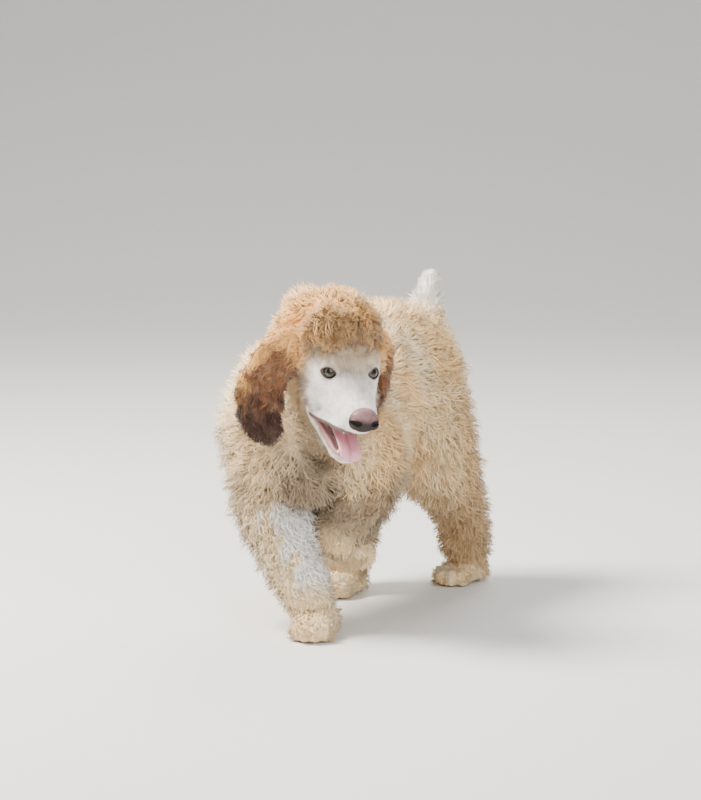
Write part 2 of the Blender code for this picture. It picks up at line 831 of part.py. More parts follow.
# Jaw rings before it drops: forward, middle height, half width, rise, drop
JAW = (
    (0.0460, -0.0505, 0.0090, 0.0030, 0.0055),
    (0.0390, -0.0510, 0.0130, 0.0040, 0.0075),
    (0.0250, -0.0515, 0.0155, 0.0045, 0.0090),
    (0.0080, -0.0515, 0.0190, 0.0050, 0.0110),
    (-0.0080, -0.0505, 0.0235, 0.0060, 0.0125),
    (-0.0220, -0.0480, 0.0260, 0.0080, 0.0130),
)
THROAT = (
    (-0.0020, -0.0505, 0.0225, 0.0060, 0.0120),
    (-0.0160, -0.0490, 0.0255, 0.0080, 0.0135),
    (-0.0300, -0.0400, 0.0280, 0.0120, 0.0170),
    (-0.0450, -0.0300, 0.0300, 0.0160, 0.0220),
)
JAW_HINGE = (-0.034, -0.036)
JAW_BACK = -0.012
MOUTH_LINE = -0.0455


def head_ring(row, count):
    """A ring square to the head's forward direction."""
    forward, height, half_width, rise, drop = row
    square = 0.72 if forward > 0 else 0.9
    centre = head_point(forward, 0, height)
    return oval(centre, LEFT, UP, half_width, rise, drop, count, square)


def jaw_point(forward, left, up):
    """A point of the lower jaw, dropped about its hinge."""
    along = forward - JAW_HINGE[0]
    rise = up - JAW_HINGE[1]
    cosine = math.cos(JAW_DROP)
    sine = math.sin(JAW_DROP)
    return head_point(
        JAW_HINGE[0] + along * cosine + rise * sine,
        left,
        JAW_HINGE[1] - along * sine + rise * cosine,
    )


def jaw_ring(row, count):
    """A ring square to the dropped jaw."""
    forward, height, half_width, rise, drop = row
    centre = jaw_point(forward, 0, height)
    up = jaw_point(forward, 0, height + 1) - centre
    return oval(centre, LEFT, up, half_width, rise, drop, count)


def jaw_directions():
    """Ahead and up for the dropped jaw."""
    origin = jaw_point(0, 0, 0)
    return jaw_point(1, 0, 0) - origin, jaw_point(0, 0, 1) - origin


def jaw_region():
    """The space of the lower jaw, below the mouth and ahead of the cheeks."""
    ahead, up = jaw_directions()
    return (
        (jaw_point(0.0, 0, MOUTH_LINE), tuple(up)),
        (jaw_point(JAW_BACK, 0, -0.050), tuple(-ahead)),
        (jaw_point(0.0, 0, -0.071), tuple(-up)),
        (jaw_point(0.0, 0.032, 0), tuple(LEFT)),
        (jaw_point(0.0, -0.032, 0), tuple(-LEFT)),
    )


def nose_cut():
    """The face between the muzzle and the nose leather, leading out of the muzzle."""
    return (head_point(0.0560, 0, -0.0230), tuple(FORWARD * 0.98 + UP * 0.18))


def eye_frame(side):
    """An eye's centre and the directions of its gaze, its width and its height."""
    centre = head_point(0.0010, side * EYE_SPREAD, 0.0)
    gaze = (FORWARD * 0.88 + LEFT * (side * 0.45) + UP * 0.30).normalized()
    wide = UP.cross(gaze).normalized()
    tall = gaze.cross(wide)
    return centre, gaze, wide, tall


def lid_point(side, angle, radius, spread=1.0):
    """A point of the almond edge of the lids, on a ball round the eye."""
    centre, gaze, wide, tall = eye_frame(side)
    across = math.radians(50.0) * math.cos(angle) * spread
    lift = math.radians(30.0) * math.sin(angle) * abs(math.sin(angle)) ** 0.25 * spread
    tilt = math.sin(math.radians(8.0)) * across * side
    direction = gaze + wide * math.tan(across) + tall * (math.tan(lift) + tilt)
    return centre + direction.normalized() * radius


LID_STEPS = 14


def lid_ring(side):
    """Both lids of one eye as one closed rim."""
    rim = EYE_RADIUS + 0.0006
    path = [lid_point(side, 2 * math.pi * k / LID_STEPS, rim) for k in range(LID_STEPS)]
    centre = eye_frame(side)[0]
    points = []
    faces = []
    for k, point in enumerate(path):
        ahead = (path[(k + 1) % LID_STEPS] - path[k - 1]).normalized()
        out = (point - centre).normalized()
        away = ahead.cross(out).normalized()
        points.extend(oval(point, out, away, 0.0019, 0.0021, 0.0021, 5))
        for n in range(5):
            a, b = k * 5 + n, k * 5 + (n + 1) % 5
            c, d = (a + 5) % (LID_STEPS * 5), (b + 5) % (LID_STEPS * 5)
            faces.append((a, b, d, c))
    return mesh_object("lids", points, faces)


def socket_opening(side):
    """A flared plug through the almond between the lids."""
    points = []
    for radius, spread in ((EYE_RADIUS * 0.5, 0.90), (EYE_RADIUS * 1.7, 0.95)):
        for k in range(LID_STEPS):
            points.append(lid_point(side, 2 * math.pi * k / LID_STEPS, radius, spread))
    faces = [tuple(range(LID_STEPS)), tuple(range(LID_STEPS, 2 * LID_STEPS))]
    for k in range(LID_STEPS):
        after = (k + 1) % LID_STEPS
        faces.append((k, after, after + LID_STEPS, k + LID_STEPS))
    return mesh_object("opening", points, faces)


def tooth(base, tip, radius):
    """One pointed tooth."""
    axis = (tip - base).normalized()
    side = axis.cross(FORWARD).normalized()
    ring = oval(base, side, axis.cross(side), radius, radius, radius, 5)
    points = [*ring, tip, base - axis * radius]
    faces = []
    for k in range(5):
        faces.append((k, (k + 1) % 5, 5))
        faces.append((k, (k + 1) % 5, 6))
    return mesh_object("tooth", points, faces)


# The mound of the topknot: middle and half sizes, forward, left and up
CREST_MIDDLE = (-0.0360, 0.0, 0.0220)
CREST_SIZES = (0.0420, 0.0440, 0.0370)


def topknot(rng):
    """The mound of wool over the skull, with its clumps."""
    mound = ball("crest", head_point(*CREST_MIDDLE), CREST_SIZES, HEAD_AXES, 2)
    reach = TOPKNOT_COAT * (1 - CORE_SHARE)

    def keep(point):
        forward, _, up = head_place(point)
        hairline = 0.033 - 0.9 * max(0.0, -forward - 0.012)
        return up > max(hairline, -0.030)

    parts = [mound]
    for point, outward in scatter(mound, TOPKNOT_PITCH, rng, keep):
        forward, _, up = head_place(point)
        short = 0.70 if forward > -0.010 and up < 0.040 else 1.0
        lie = (-UP + FORWARD * 0.3) if forward > -0.02 else -UP
        size = TOPKNOT_PITCH * 0.68
        parts.append(clump((point, outward), lie, reach * short, size, 0.007, 0.011, rng))
    return parts


def face_parts():
    """Cheeks, brows, lips and lids."""
    parts = []
    for side in (-1, 1):
        brow = head_point(-0.0110, side * 0.0190, 0.0095)
        parts.append(ball("brow", brow, (0.016, 0.014, 0.0125), HEAD_AXES, 2))
        cheek = head_point(-0.0190, side * 0.0235, -0.0290)
        parts.append(ball("cheek", cheek, (0.0250, 0.0145, 0.0215), HEAD_AXES, 2))
        orbit = (EYE_RADIUS + 0.0022,) * 3
        parts.append(ball("orbit", eye_frame(side)[0], orbit, HEAD_AXES, 3))
        lip = head_point(0.0400, side * 0.0095, -0.0325)
        parts.append(ball("lip", lip, (0.0180, 0.0095, 0.0085), HEAD_AXES, 2))
        path = [
            head_point(0.0490, side * 0.0080, -0.0400),
            head_point(0.0400, side * 0.0128, -0.0415),
            head_point(0.0220, side * 0.0180, -0.0440),
            head_point(0.0060, side * 0.0233, -0.0470),
            head_point(-0.0090, side * 0.0275, -0.0490),
            head_point(-0.0170, side * 0.0262, -0.0470),
        ]
        radii = [0.0030, 0.0038, 0.0043, 0.0045, 0.0044, 0.0030]
        parts.append(skinned("lip_edge", tube_rings(path, radii, 7)))
        parts.append(lid_ring(side))
    return parts


# The hollow of the palate: forward, middle height, half width, rise, drop
PALATE = (
    (0.0420, -0.0420, 0.0080, 0.0060, 0.0200),
    (0.0200, -0.0450, 0.0120, 0.0100, 0.0200),
    (0.0020, -0.0470, 0.0140, 0.0120, 0.0200),
    (-0.0110, -0.0490, 0.0140, 0.0125, 0.0120),
)


def clear_head(thing):
    """Cuts the head from the neck and the nose, and opens its mouth, eyes and ear roots."""
    thing = within((HEAD_NECK, nose_cut()))(thing)
    cutters = [ear_envelope(-1, GAP / 2), ear_envelope(1, GAP / 2), cell(jaw_region(), GAP / 2)]
    cutters.append(skinned("palate", [head_ring(row, 10) for row in PALATE], 0.1))
    for side in (-1, 1):
        cutters.append(ball("socket", eye_frame(side)[0], (EYE_RADIUS + GAP,) * 3, HEAD_AXES, 3))
        cutters.append(socket_opening(side))
    thing = combine(thing, cutters, "DIFFERENCE")
    teeth = []
    for side in (-1, 1):
        base = head_point(0.0445, side * 0.0118, -0.0390)
        teeth.append(tooth(base, base - UP * 0.0062, 0.0018))
    return combine(thing, teeth, "UNION")


def build_head():
    """The skull and upper muzzle with lids, lips, teeth and the topknot."""
    skull = skinned("head", [head_ring(row, 20) for row in SKULL], 0.4)
    throat = [jaw_ring(row, 14) for row in THROAT[:2]] + [head_ring(row, 14) for row in THROAT[2:]]
    parts = [skinned("throat", throat, 0.3), *face_parts(), *topknot(random.Random(21))]
    parts += taken(HEAD_REGION)
    head = joined([skull, *parts], clear_head, HEAD_COARSENESS)
    return named(head, "head", "coat_apricot")


def build_jaw():
    """The lower jaw with its lip, canines and front teeth."""
    _, up = jaw_directions()
    jaw = skinned("lower_jaw", [jaw_ring(row, 16) for row in JAW], 0.4)
    parts = []
    for side in (-1, 1):
        path = [
            jaw_point(0.0450, side * 0.0045, -0.0482),
            jaw_point(0.0390, side * 0.0108, -0.0479),
            jaw_point(0.0240, side * 0.0140, -0.0477),
            jaw_point(0.0060, side * 0.0180, -0.0477),
            jaw_point(-0.0110, side * 0.0230, -0.0477),
        ]
        radii = [0.0022, 0.0024, 0.0025, 0.0026, 0.0028]
        parts.append(skinned("lip", tube_rings(path, radii, 6)))
        base = jaw_point(0.0405, side * 0.0090, -0.0470)
        parts.append(tooth(base, base + up * 0.0060, 0.0017))
    jaw = combine(jaw, parts, "UNION")
    jaw = combine(jaw, [cell(jaw_region(), -GAP / 2)], "INTERSECT")
    teeth = []
    for k in range(4):
        base = jaw_point(0.0440, (k - 1.5) * 0.0030, -0.0483)
        teeth.append(tooth(base, base + up * 0.0042, 0.0013))
    return named(combine(jaw, teeth, "UNION"), "lower_jaw", "coat_white")


# The tongue's course in the jaw: forward, left, up, half width, half thickness
TONGUE = (
    (-0.0020, 0.000, -0.0415, 0.0110, 0.0028),
    (0.0120, 0.000, -0.0405, 0.0112, 0.0030),
    (0.0310, 0.000, -0.0400, 0.0104, 0.0032),
    (0.0430, 0.000, -0.0398, 0.0108, 0.0030),
    (0.0500, 0.000, -0.0412, 0.0112, 0.0028),
    (0.0530, 0.000, -0.0445, 0.0104, 0.0026),
    (0.0537, 0.000, -0.0480, 0.0080, 0.0023),
    (0.0535, 0.000, -0.0502, 0.0045, 0.0017),
)


def build_tongue():
    """The tongue lying in the jaw and hanging over its front."""
    centres = [jaw_point(*row[:3]) for row in TONGUE]
    rings = []
    for k, row in enumerate(TONGUE):
        ahead = centres[min(k + 1, len(TONGUE) - 1)] - centres[max(k - 1, 0)]
        up = LEFT.cross(ahead).normalized()
        rings.append(oval(centres[k], LEFT, up, row[3], row[4], row[4], 10))
    return named(skinned("tongue", rings, 0.5), "tongue", "tongue_pink")


def build_nose():
    """The nose leather with its two nostrils."""
    pad = ball("nose", head_point(0.0588, 0, -0.0226), (0.0110, 0.0145, 0.0122), HEAD_AXES, 3)
    wings = []
    holes = []
    for side in (-1, 1):
        wing = head_point(0.0610, side * 0.0085, -0.0242)
        wings.append(ball("wing", wing, (0.0080, 0.0068, 0.0074), HEAD_AXES, 2))
        path = [
            head_point(0.0745, side * 0.0062, -0.0222),
            head_point(0.0675, side * 0.0084, -0.0224),
            head_point(0.0620, side * 0.0118, -0.0226),
        ]
        holes.append(skinned("nostril", tube_rings(path, [0.0020, 0.0027, 0.0014], 8)))
    pad = combine(combine(pad, wings, "UNION"), holes, "DIFFERENCE")
    return named(within((opposite(nose_cut()),))(pad), "nose", "nose_leather")


def build_eyes():
    """The two eyeballs."""
    for side, word in ((-1, "right"), (1, "left")):
        eye = ball("eye", eye_frame(side)[0], (EYE_RADIUS,) * 3, HEAD_AXES, 3)
        named(eye, "eye_" + word, "eye_hazel")


# Ear paths in the head's directions: forward, outward, up, half width
EAR_RIGHT = (
    (-0.034, 0.034, 0.018, 0.016),
    (-0.036, 0.050, 0.008, 0.020),
    (-0.037, 0.065, -0.014, 0.023),
    (-0.034, 0.072, -0.040, 0.024),
    (-0.030, 0.072, -0.066, 0.020),
    (-0.025, 0.067, -0.087, 0.012),
)
EAR_LEFT = (
    (-0.036, 0.030, 0.018, 0.015),
    (-0.040, 0.043, 0.005, 0.019),
    (-0.043, 0.048, -0.019, 0.022),
    (-0.045, 0.046, -0.043, 0.022),
    (-0.046, 0.041, -0.063, 0.018),
    (-0.045, 0.035, -0.078, 0.010),
)
EAR_OUTSIDE = 0.0050
EAR_INSIDE = 0.0035


def ear_rings(side, more, count):
    """Rings down a hanging ear; more is added to every half size."""
    path = EAR_RIGHT if side < 0 else EAR_LEFT
    facing = 0.80 if side < 0 else 0.30
    centres = [head_point(f, side * l, u) for f, l, u, _ in path]
    rings = []
    for k, (_, _, _, half) in enumerate(path):
        down = (centres[min(k + 1, len(path) - 1)] - centres[max(k - 1, 0)]).normalized()
        face = FORWARD * facing + LEFT * (side * math.sqrt(1 - facing**2))
        face = (face - down * face.dot(down)).normalized()
        wide = down.cross(face)
        centre = centres[k]
        rings.append(oval(centre, wide, face, half + more, EAR_OUTSIDE + more, EAR_INSIDE + more, count))
    return rings


def ear_envelope(side, grow):
    """The smooth space that one ear keeps to itself."""
    rings = ear_rings(side, EAR_COAT + 0.0015 + grow, 16)
    return skinned("envelope", rings, 0.5)


def build_ear(side, seed):
    """One hanging ear: a thin leaf under overlapping locks."""
    word = "right" if side < 0 else "left"
    rng = random.Random(seed)
    rings = ear_rings(side, 0.0, 12)
    leaf = skinned("ear_" + word, rings, 0.5)
    down = down_the_limb(rings)
    locks = []
    for place in scatter(leaf, EAR_PITCH, rng, lambda point: True):
        lie = down(place[0])
        locks.append(clump(place, lie, EAR_COAT, EAR_PITCH * 0.62, 0.014, 0.003, rng))
    trim = lambda thing: combine(thing, [ear_envelope(side, -GAP / 2)], "INTERSECT")
    return named(joined([leaf, *locks], trim), "ear_" + word, "ear_brown")


def centre_on_origin():
    """Moves the whole figure so that the middle of its plan is over the origin."""
    solids = [thing for thing in bpy.context.scene.objects if thing.type == "MESH"]
    corners = [v.co for thing in solids for v in thing.data.vertices]
    low = [min(p[k] for p in corners) for k in range(3)]
    high = [max(p[k] for p in corners) for k in range(3)]
    shift = Vector((-(low[0] + high[0]) / 2, -(low[1] + high[1]) / 2, -low[2]))
    for thing in solids:
        thing.data.transform(Matrix.Translation(shift))


def main():
    """Clears the scene and builds every node."""
    for thing in list(bpy.data.objects):
        bpy.data.objects.remove(thing)
    build_trunk_coat()
    build_trunk_nodes()
    for seed, name in enumerate(LEGS):
        build_leg(name, 70 + seed)
    build_head()
    build_jaw()
    build_tongue()
    build_nose()
    build_eyes()
    build_ear(-1, 31)
    build_ear(1, 32)
    for thing in COAT:
        bpy.data.objects.remove(thing)
    centre_on_origin()


main()
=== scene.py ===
"""Looks of a standard poodle puppy, about nine weeks old, walking with its head turned.

One smooth skin carries a coat of tapered, wavy tufts that stand out to the depth of the wool:
long over the crown, trunk and legs, short over the face and feet. Eyes, nose, tongue, teeth and
ears are pieces of their own. Units are metres, +Z is up and the puppy walks towards -Y.
"""

from __future__ import annotations

import logging
import math
from dataclasses import dataclass, field
from enum import Enum
from typing import Callable, Sequence

import bmesh
import bpy
import numpy as np
from mathutils import Matrix, Vector

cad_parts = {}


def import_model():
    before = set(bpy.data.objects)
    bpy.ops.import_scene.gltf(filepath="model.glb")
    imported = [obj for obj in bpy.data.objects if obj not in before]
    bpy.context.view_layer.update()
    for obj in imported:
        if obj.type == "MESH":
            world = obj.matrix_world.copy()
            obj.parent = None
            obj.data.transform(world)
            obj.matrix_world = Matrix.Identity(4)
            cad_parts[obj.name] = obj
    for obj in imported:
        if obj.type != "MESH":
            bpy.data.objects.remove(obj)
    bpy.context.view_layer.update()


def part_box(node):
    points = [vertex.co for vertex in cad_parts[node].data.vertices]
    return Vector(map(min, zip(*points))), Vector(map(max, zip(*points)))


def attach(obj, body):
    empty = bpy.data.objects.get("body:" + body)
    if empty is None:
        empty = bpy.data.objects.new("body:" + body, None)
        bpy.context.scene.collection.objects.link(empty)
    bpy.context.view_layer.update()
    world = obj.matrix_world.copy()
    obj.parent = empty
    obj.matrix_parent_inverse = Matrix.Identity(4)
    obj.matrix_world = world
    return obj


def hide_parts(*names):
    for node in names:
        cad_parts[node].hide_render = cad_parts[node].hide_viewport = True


LOG = logging.getLogger("poodle")
Array = np.ndarray
Rgb = tuple[float, float, float]


def linear(red: int, green: int, blue: int) -> Rgb:
    """A display colour of 0 to 255 as the linear values that shaders take.

    Args:
        red: Red, 0 to 255.
        green: Green, 0 to 255.
        blue: Blue, 0 to 255.

    Returns:
        The colour in linear light.
    """
    return tuple(((c / 255 + 0.055) / 1.055) ** 2.4 if c > 10 else c / 3294.6 for c in (red, green, blue))


def unit(vectors: Array) -> Array:
    """Vectors scaled to a length of one, along the last axis."""
    size = np.linalg.norm(vectors, axis=-1, keepdims=True)
    return vectors / np.maximum(size, 1e-12)


def step(low: float, high: float, values: Array) -> Array:
    """A smooth rise from 0 at low to 1 at high; low may be the greater."""
    share = np.clip((values - low) / (high - low), 0.0, 1.0)
    return share * share * (3 - 2 * share)


def curve_through(rows: Array, count: int) -> Array:
    """Rows read along a smooth curve through the given rows.

    Args:
        rows: Values at the knots, one row for each.
        count: How many rows to return.

    Returns:
        The rows, evenly spread from the first knot to the last.
    """
    rows = np.asarray(rows, float)
    spans = np.linalg.norm(np.diff(rows[:, :3], axis=0), axis=1)
    knots = np.concatenate([[0.0], np.cumsum(spans)])
    slopes = np.gradient(rows, knots, axis=0)
    wanted = np.linspace(0.0, knots[-1], count)
    at = np.clip(np.searchsorted(knots, wanted, side="right") - 1, 0, len(knots) - 2)
    width = (knots[at + 1] - knots[at])[:, None]
    t = (wanted - knots[at])[:, None] / width
    return (
        rows[at] * (2 * t**3 - 3 * t**2 + 1)
        + slopes[at] * width * (t**3 - 2 * t**2 + t)
        + rows[at + 1] * (3 * t**2 - 2 * t**3)
        + slopes[at + 1] * width * (t**3 - t**2)
    )


def waves(places: Array, seed: int, size: float, count: int = 5) -> Array:
    """Smooth random values from about -1 to 1 over space.

    Args:
        places: Points, in metres.
        seed: Seed of the draw.
        size: Length of the waves, in metres.
        count: How many waves are summed.

    Returns:
        One value for each point.
    """
    rng = np.random.default_rng(seed)
    total = np.zeros(len(places))
    for _ in range(count):
        way = unit(rng.normal(size=3)) * (2 * math.pi / (size * rng.uniform(0.7, 1.4)))
        total += np.sin(places @ way + rng.uniform(0, 2 * math.pi))
    return total / math.sqrt(count)


def closed_mesh(name: str, rings: Sequence[Array], bulge: float = 0.35) -> bpy.types.Object:
    """A closed surface through rings of points, with a low point on each end.

    Args:
        name: The object's name.
        rings: Rings of equal count, from one end to the other.
        bulge: Height of the end points, as a share of the end ring's radius.

    Returns:
        The new object, not yet in the scene.
    """
    count = len(rings[0])
    points = np.concatenate(rings)
    faces: list[tuple[int, ...]] = []
    for row in range(len(rings) - 1):
        for k in range(count):
            a, b = row * count + k, row * count + (k + 1) % count
            faces.append((a, b, b + count, a + count))
    for row, inner in ((0, 1), (len(rings) - 1, len(rings) - 2)):
        centre = rings[row].mean(axis=0)
        size = float(np.linalg.norm(rings[row][0] - centre))
        out = unit(centre - rings[inner].mean(axis=0)) * size * bulge
        points = np.vstack([points, centre + out])
        top = len(points) - 1
        faces.extend((row * count + k, row * count + (k + 1) % count, top) for k in range(count))
    return mesh_piece(name, points, faces)


def mesh_piece(name: str, points: Array, faces: Sequence[tuple[int, ...]]) -> bpy.types.Object:
    """An object from points and faces, with its faces turned outwards."""
    mesh = bpy.data.meshes.new(name)
    mesh.from_pydata(points.tolist(), [], [tuple(f) for f in faces])
    work = bmesh.new()
    work.from_mesh(mesh)
    bmesh.ops.recalc_face_normals(work, faces=work.faces)
    if work.calc_volume(signed=True) < 0:
        bmesh.ops.reverse_faces(work, faces=work.faces)
    work.to_mesh(mesh)
    work.free()
    return bpy.data.objects.new(name, mesh)


def ball(name: str, centre: Array, radii: Sequence[float], axes: Array, detail: int = 4) -> bpy.types.Object:
    """An ellipsoid with its own three directions."""
    work = bmesh.new()
    bmesh.ops.create_icosphere(work, subdivisions=detail, radius=1.0)
    shares = np.array([v.co for v in work.verts]) * np.asarray(radii)
    faces = [tuple(v.index for v in f.verts) for f in work.faces]
    work.free()
    return mesh_piece(name, centre + shares @ np.asarray(axes), faces)


def ring_round(centre: Array, side: Array, up: Array, half: float, rise: float, drop: float,
               count: int, square: float = 1.0) -> Array:
    """A ring of points; square under 1 makes its lower half boxier."""
    angle = np.arange(count) * 2 * math.pi / count
    across, lift = np.cos(angle), np.sin(angle)
    low = lift < 0
    across = np.where(low, np.sign(across) * np.abs(across) ** square, across)
    lift = np.where(low, -np.abs(lift) ** square, lift)
    height = lift * np.where(low, drop, rise)
    return centre + np.outer(across * half, side) + np.outer(height, up)


def tube(path: Array, radii: Array, count: int) -> list[Array]:
    """Round rings square to a path of points."""
    ahead = unit(np.gradient(path, axis=0))
    rings = []
    side = np.cross(ahead[0], (0.0, 1.0, 0.0))
    for point, way, radius in zip(path, ahead, radii):
        side = unit(side - way * (side @ way))
        rings.append(ring_round(point, side, np.cross(side, way), radius, radius, radius, count))
    return rings


def vertices_of(thing: bpy.types.Object) -> tuple[Array, Array]:
    """The points of a mesh and its normals there."""
    mesh = thing.data
    points = np.empty(len(mesh.vertices) * 3)
    mesh.vertices.foreach_get("co", points)
    normals = np.empty(len(mesh.vertices) * 3)
    mesh.vertex_normals.foreach_get("vector", normals)
    return points.reshape(-1, 3), normals.reshape(-1, 3)


def baked(thing: bpy.types.Object) -> bpy.types.Object:
    """The object with its modifiers worked into its mesh."""
    bpy.context.scene.collection.objects.link(thing)
    graph = bpy.context.evaluated_depsgraph_get()
    mesh = bpy.data.meshes.new_from_object(thing.evaluated_get(graph))
    bpy.context.scene.collection.objects.unlink(thing)
    thing.modifiers.clear()
    thing.data = mesh
    return thing


def joined(name: str, things: Sequence[bpy.types.Object]) -> bpy.types.Object:
    """Several meshes in one object, which are then removed."""
    work = bmesh.new()
    for thing in things:
        work.from_mesh(thing.data)
        bpy.data.objects.remove(thing)
    mesh = bpy.data.meshes.new(name)
    work.to_mesh(mesh)
    work.free()
    return bpy.data.objects.new(name, mesh)


def remeshed(thing: bpy.types.Object, voxel: float, rounds: int) -> bpy.types.Object:
    """One closed skin over all that the object holds, smoothed.

    Args:
        thing: An object of closed, overlapping shells.
        voxel: Size of the new faces, in metres.
        rounds: Rounds of smoothing.

    Returns:
        The same object with its new mesh.
    """
    remesh = thing.modifiers.new("remesh", "REMESH")
    remesh.mode = "VOXEL"
    remesh.voxel_size = voxel
    smooth = thing.modifiers.new("smooth", "SMOOTH")
    smooth.factor = 0.5
    smooth.iterations = rounds
    return baked(thing)


def combined(thing: bpy.types.Object, others: Sequence[bpy.types.Object], how: str) -> bpy.types.Object:
    """The object united with the others, or with them cut away; they are then removed."""
    group = bpy.data.collections.new("operands")
    for other in others:
        group.objects.link(other)
    modifier = thing.modifiers.new("combine", "BOOLEAN")
    modifier.operation = how
    modifier.solver = "MANIFOLD"
    modifier.operand_type = "COLLECTION"
    modifier.collection = group
    thing = baked(thing)
    for other in others:
        bpy.data.objects.remove(other)
    bpy.data.collections.remove(group)
    return thing


class Zone(Enum):
    """The parts of the coat, each made as pieces of its own."""

    TRUNK = "trunk"
    NECK = "neck"
    TAIL = "tail"
    FORE_RIGHT = "fore_right"
    FORE_LEFT = "fore_left"
    HIND_RIGHT = "hind_right"
    HIND_LEFT = "hind_left"
    CROWN = "crown"
    FACE = "face"
    EAR_RIGHT = "ear_right"
    EAR_LEFT = "ear_left"


@dataclass(frozen=True)
class HeadFrame:
    """Where the head is held: midway between the eyes, turned to its left, nodded and tilted."""

    eye_line: tuple[float, float, float] = (0.0875, -0.1631, 0.2690)
    turn: float = 49.5
    nod: float = 19.5
    roll: float = 3.5
    jaw_drop: float = 20.0
    hinge: tuple[float, float] = (-0.034, -0.036)

    @property
    def axes(self) -> Array:
        """Forward, left and up, one row each."""
        pose = Matrix.Rotation(math.radians(self.turn), 3, "Z")
        pose = pose @ Matrix.Rotation(math.radians(self.nod), 3, "X")
        pose = pose @ Matrix.Rotation(math.radians(self.roll), 3, "Y")
        return np.array([pose @ Vector(way) for way in ((0, -1, 0), (1, 0, 0), (0, 0, 1))])

    def at(self, places: Array) -> Array:
        """Points from forward, left and up distances."""
        return np.asarray(self.eye_line) + np.asarray(places, float) @ self.axes

    def read(self, points: Array) -> Array:
        """Forward, left and up distances of points."""
        return (points - np.asarray(self.eye_line)) @ self.axes.T

    def jaw_at(self, places: Array) -> Array:
        """Points of the lower jaw, dropped about its hinge."""
        places = np.atleast_2d(np.asarray(places, float))
        along = places[:, 0] - self.hinge[0]
        rise = places[:, 2] - self.hinge[1]
        drop = math.radians(self.jaw_drop)
        turned = np.stack([
            self.hinge[0] + along * math.cos(drop) + rise * math.sin(drop),
            places[:, 1],
            self.hinge[1] - along * math.sin(drop) + rise * math.cos(drop),
        ], axis=1)
        return self.at(turned)

    @property
    def jaw_up(self) -> Array:
        """Up for the dropped jaw."""
        return unit(self.jaw_at((0, 0, 1))[0] - self.jaw_at((0, 0, 0))[0])


@dataclass
class Course:
    """A run of the body about one axis, with the depth of its coat."""

    zone: Zone
    axis: Array
    radius: Array
    depth: Array
    flow: float = 1.0
    # For a flat part, the way that it faces and its half thickness
    face: Array | None = None
    thin: float = 0.0

    @property
    def heading(self) -> Array:
        """The direction of the coat's lie along the axis."""
        return unit(np.gradient(self.axis, axis=0)) * self.flow

    def read(self, points: Array) -> tuple[Array, Array]:
        """How far points lie from the axis, in its own radii, and the nearest place on it."""
        nearest = np.empty(len(points), int)
        for start in range(0, len(points), 20000):
            some = points[start:start + 20000, None] - self.axis[None]
            nearest[start:start + 20000] = (some**2).sum(axis=2).argmin(axis=1)
        offset = points - self.axis[nearest]
        if self.face is None:
            return np.linalg.norm(offset, axis=1) / self.radius[nearest], nearest
        deep = (offset * self.face[nearest]).sum(axis=1)
        rest = np.linalg.norm(offset - self.face[nearest] * deep[:, None], axis=1)
        return np.hypot(deep / self.thin, rest / self.radius[nearest]), nearest


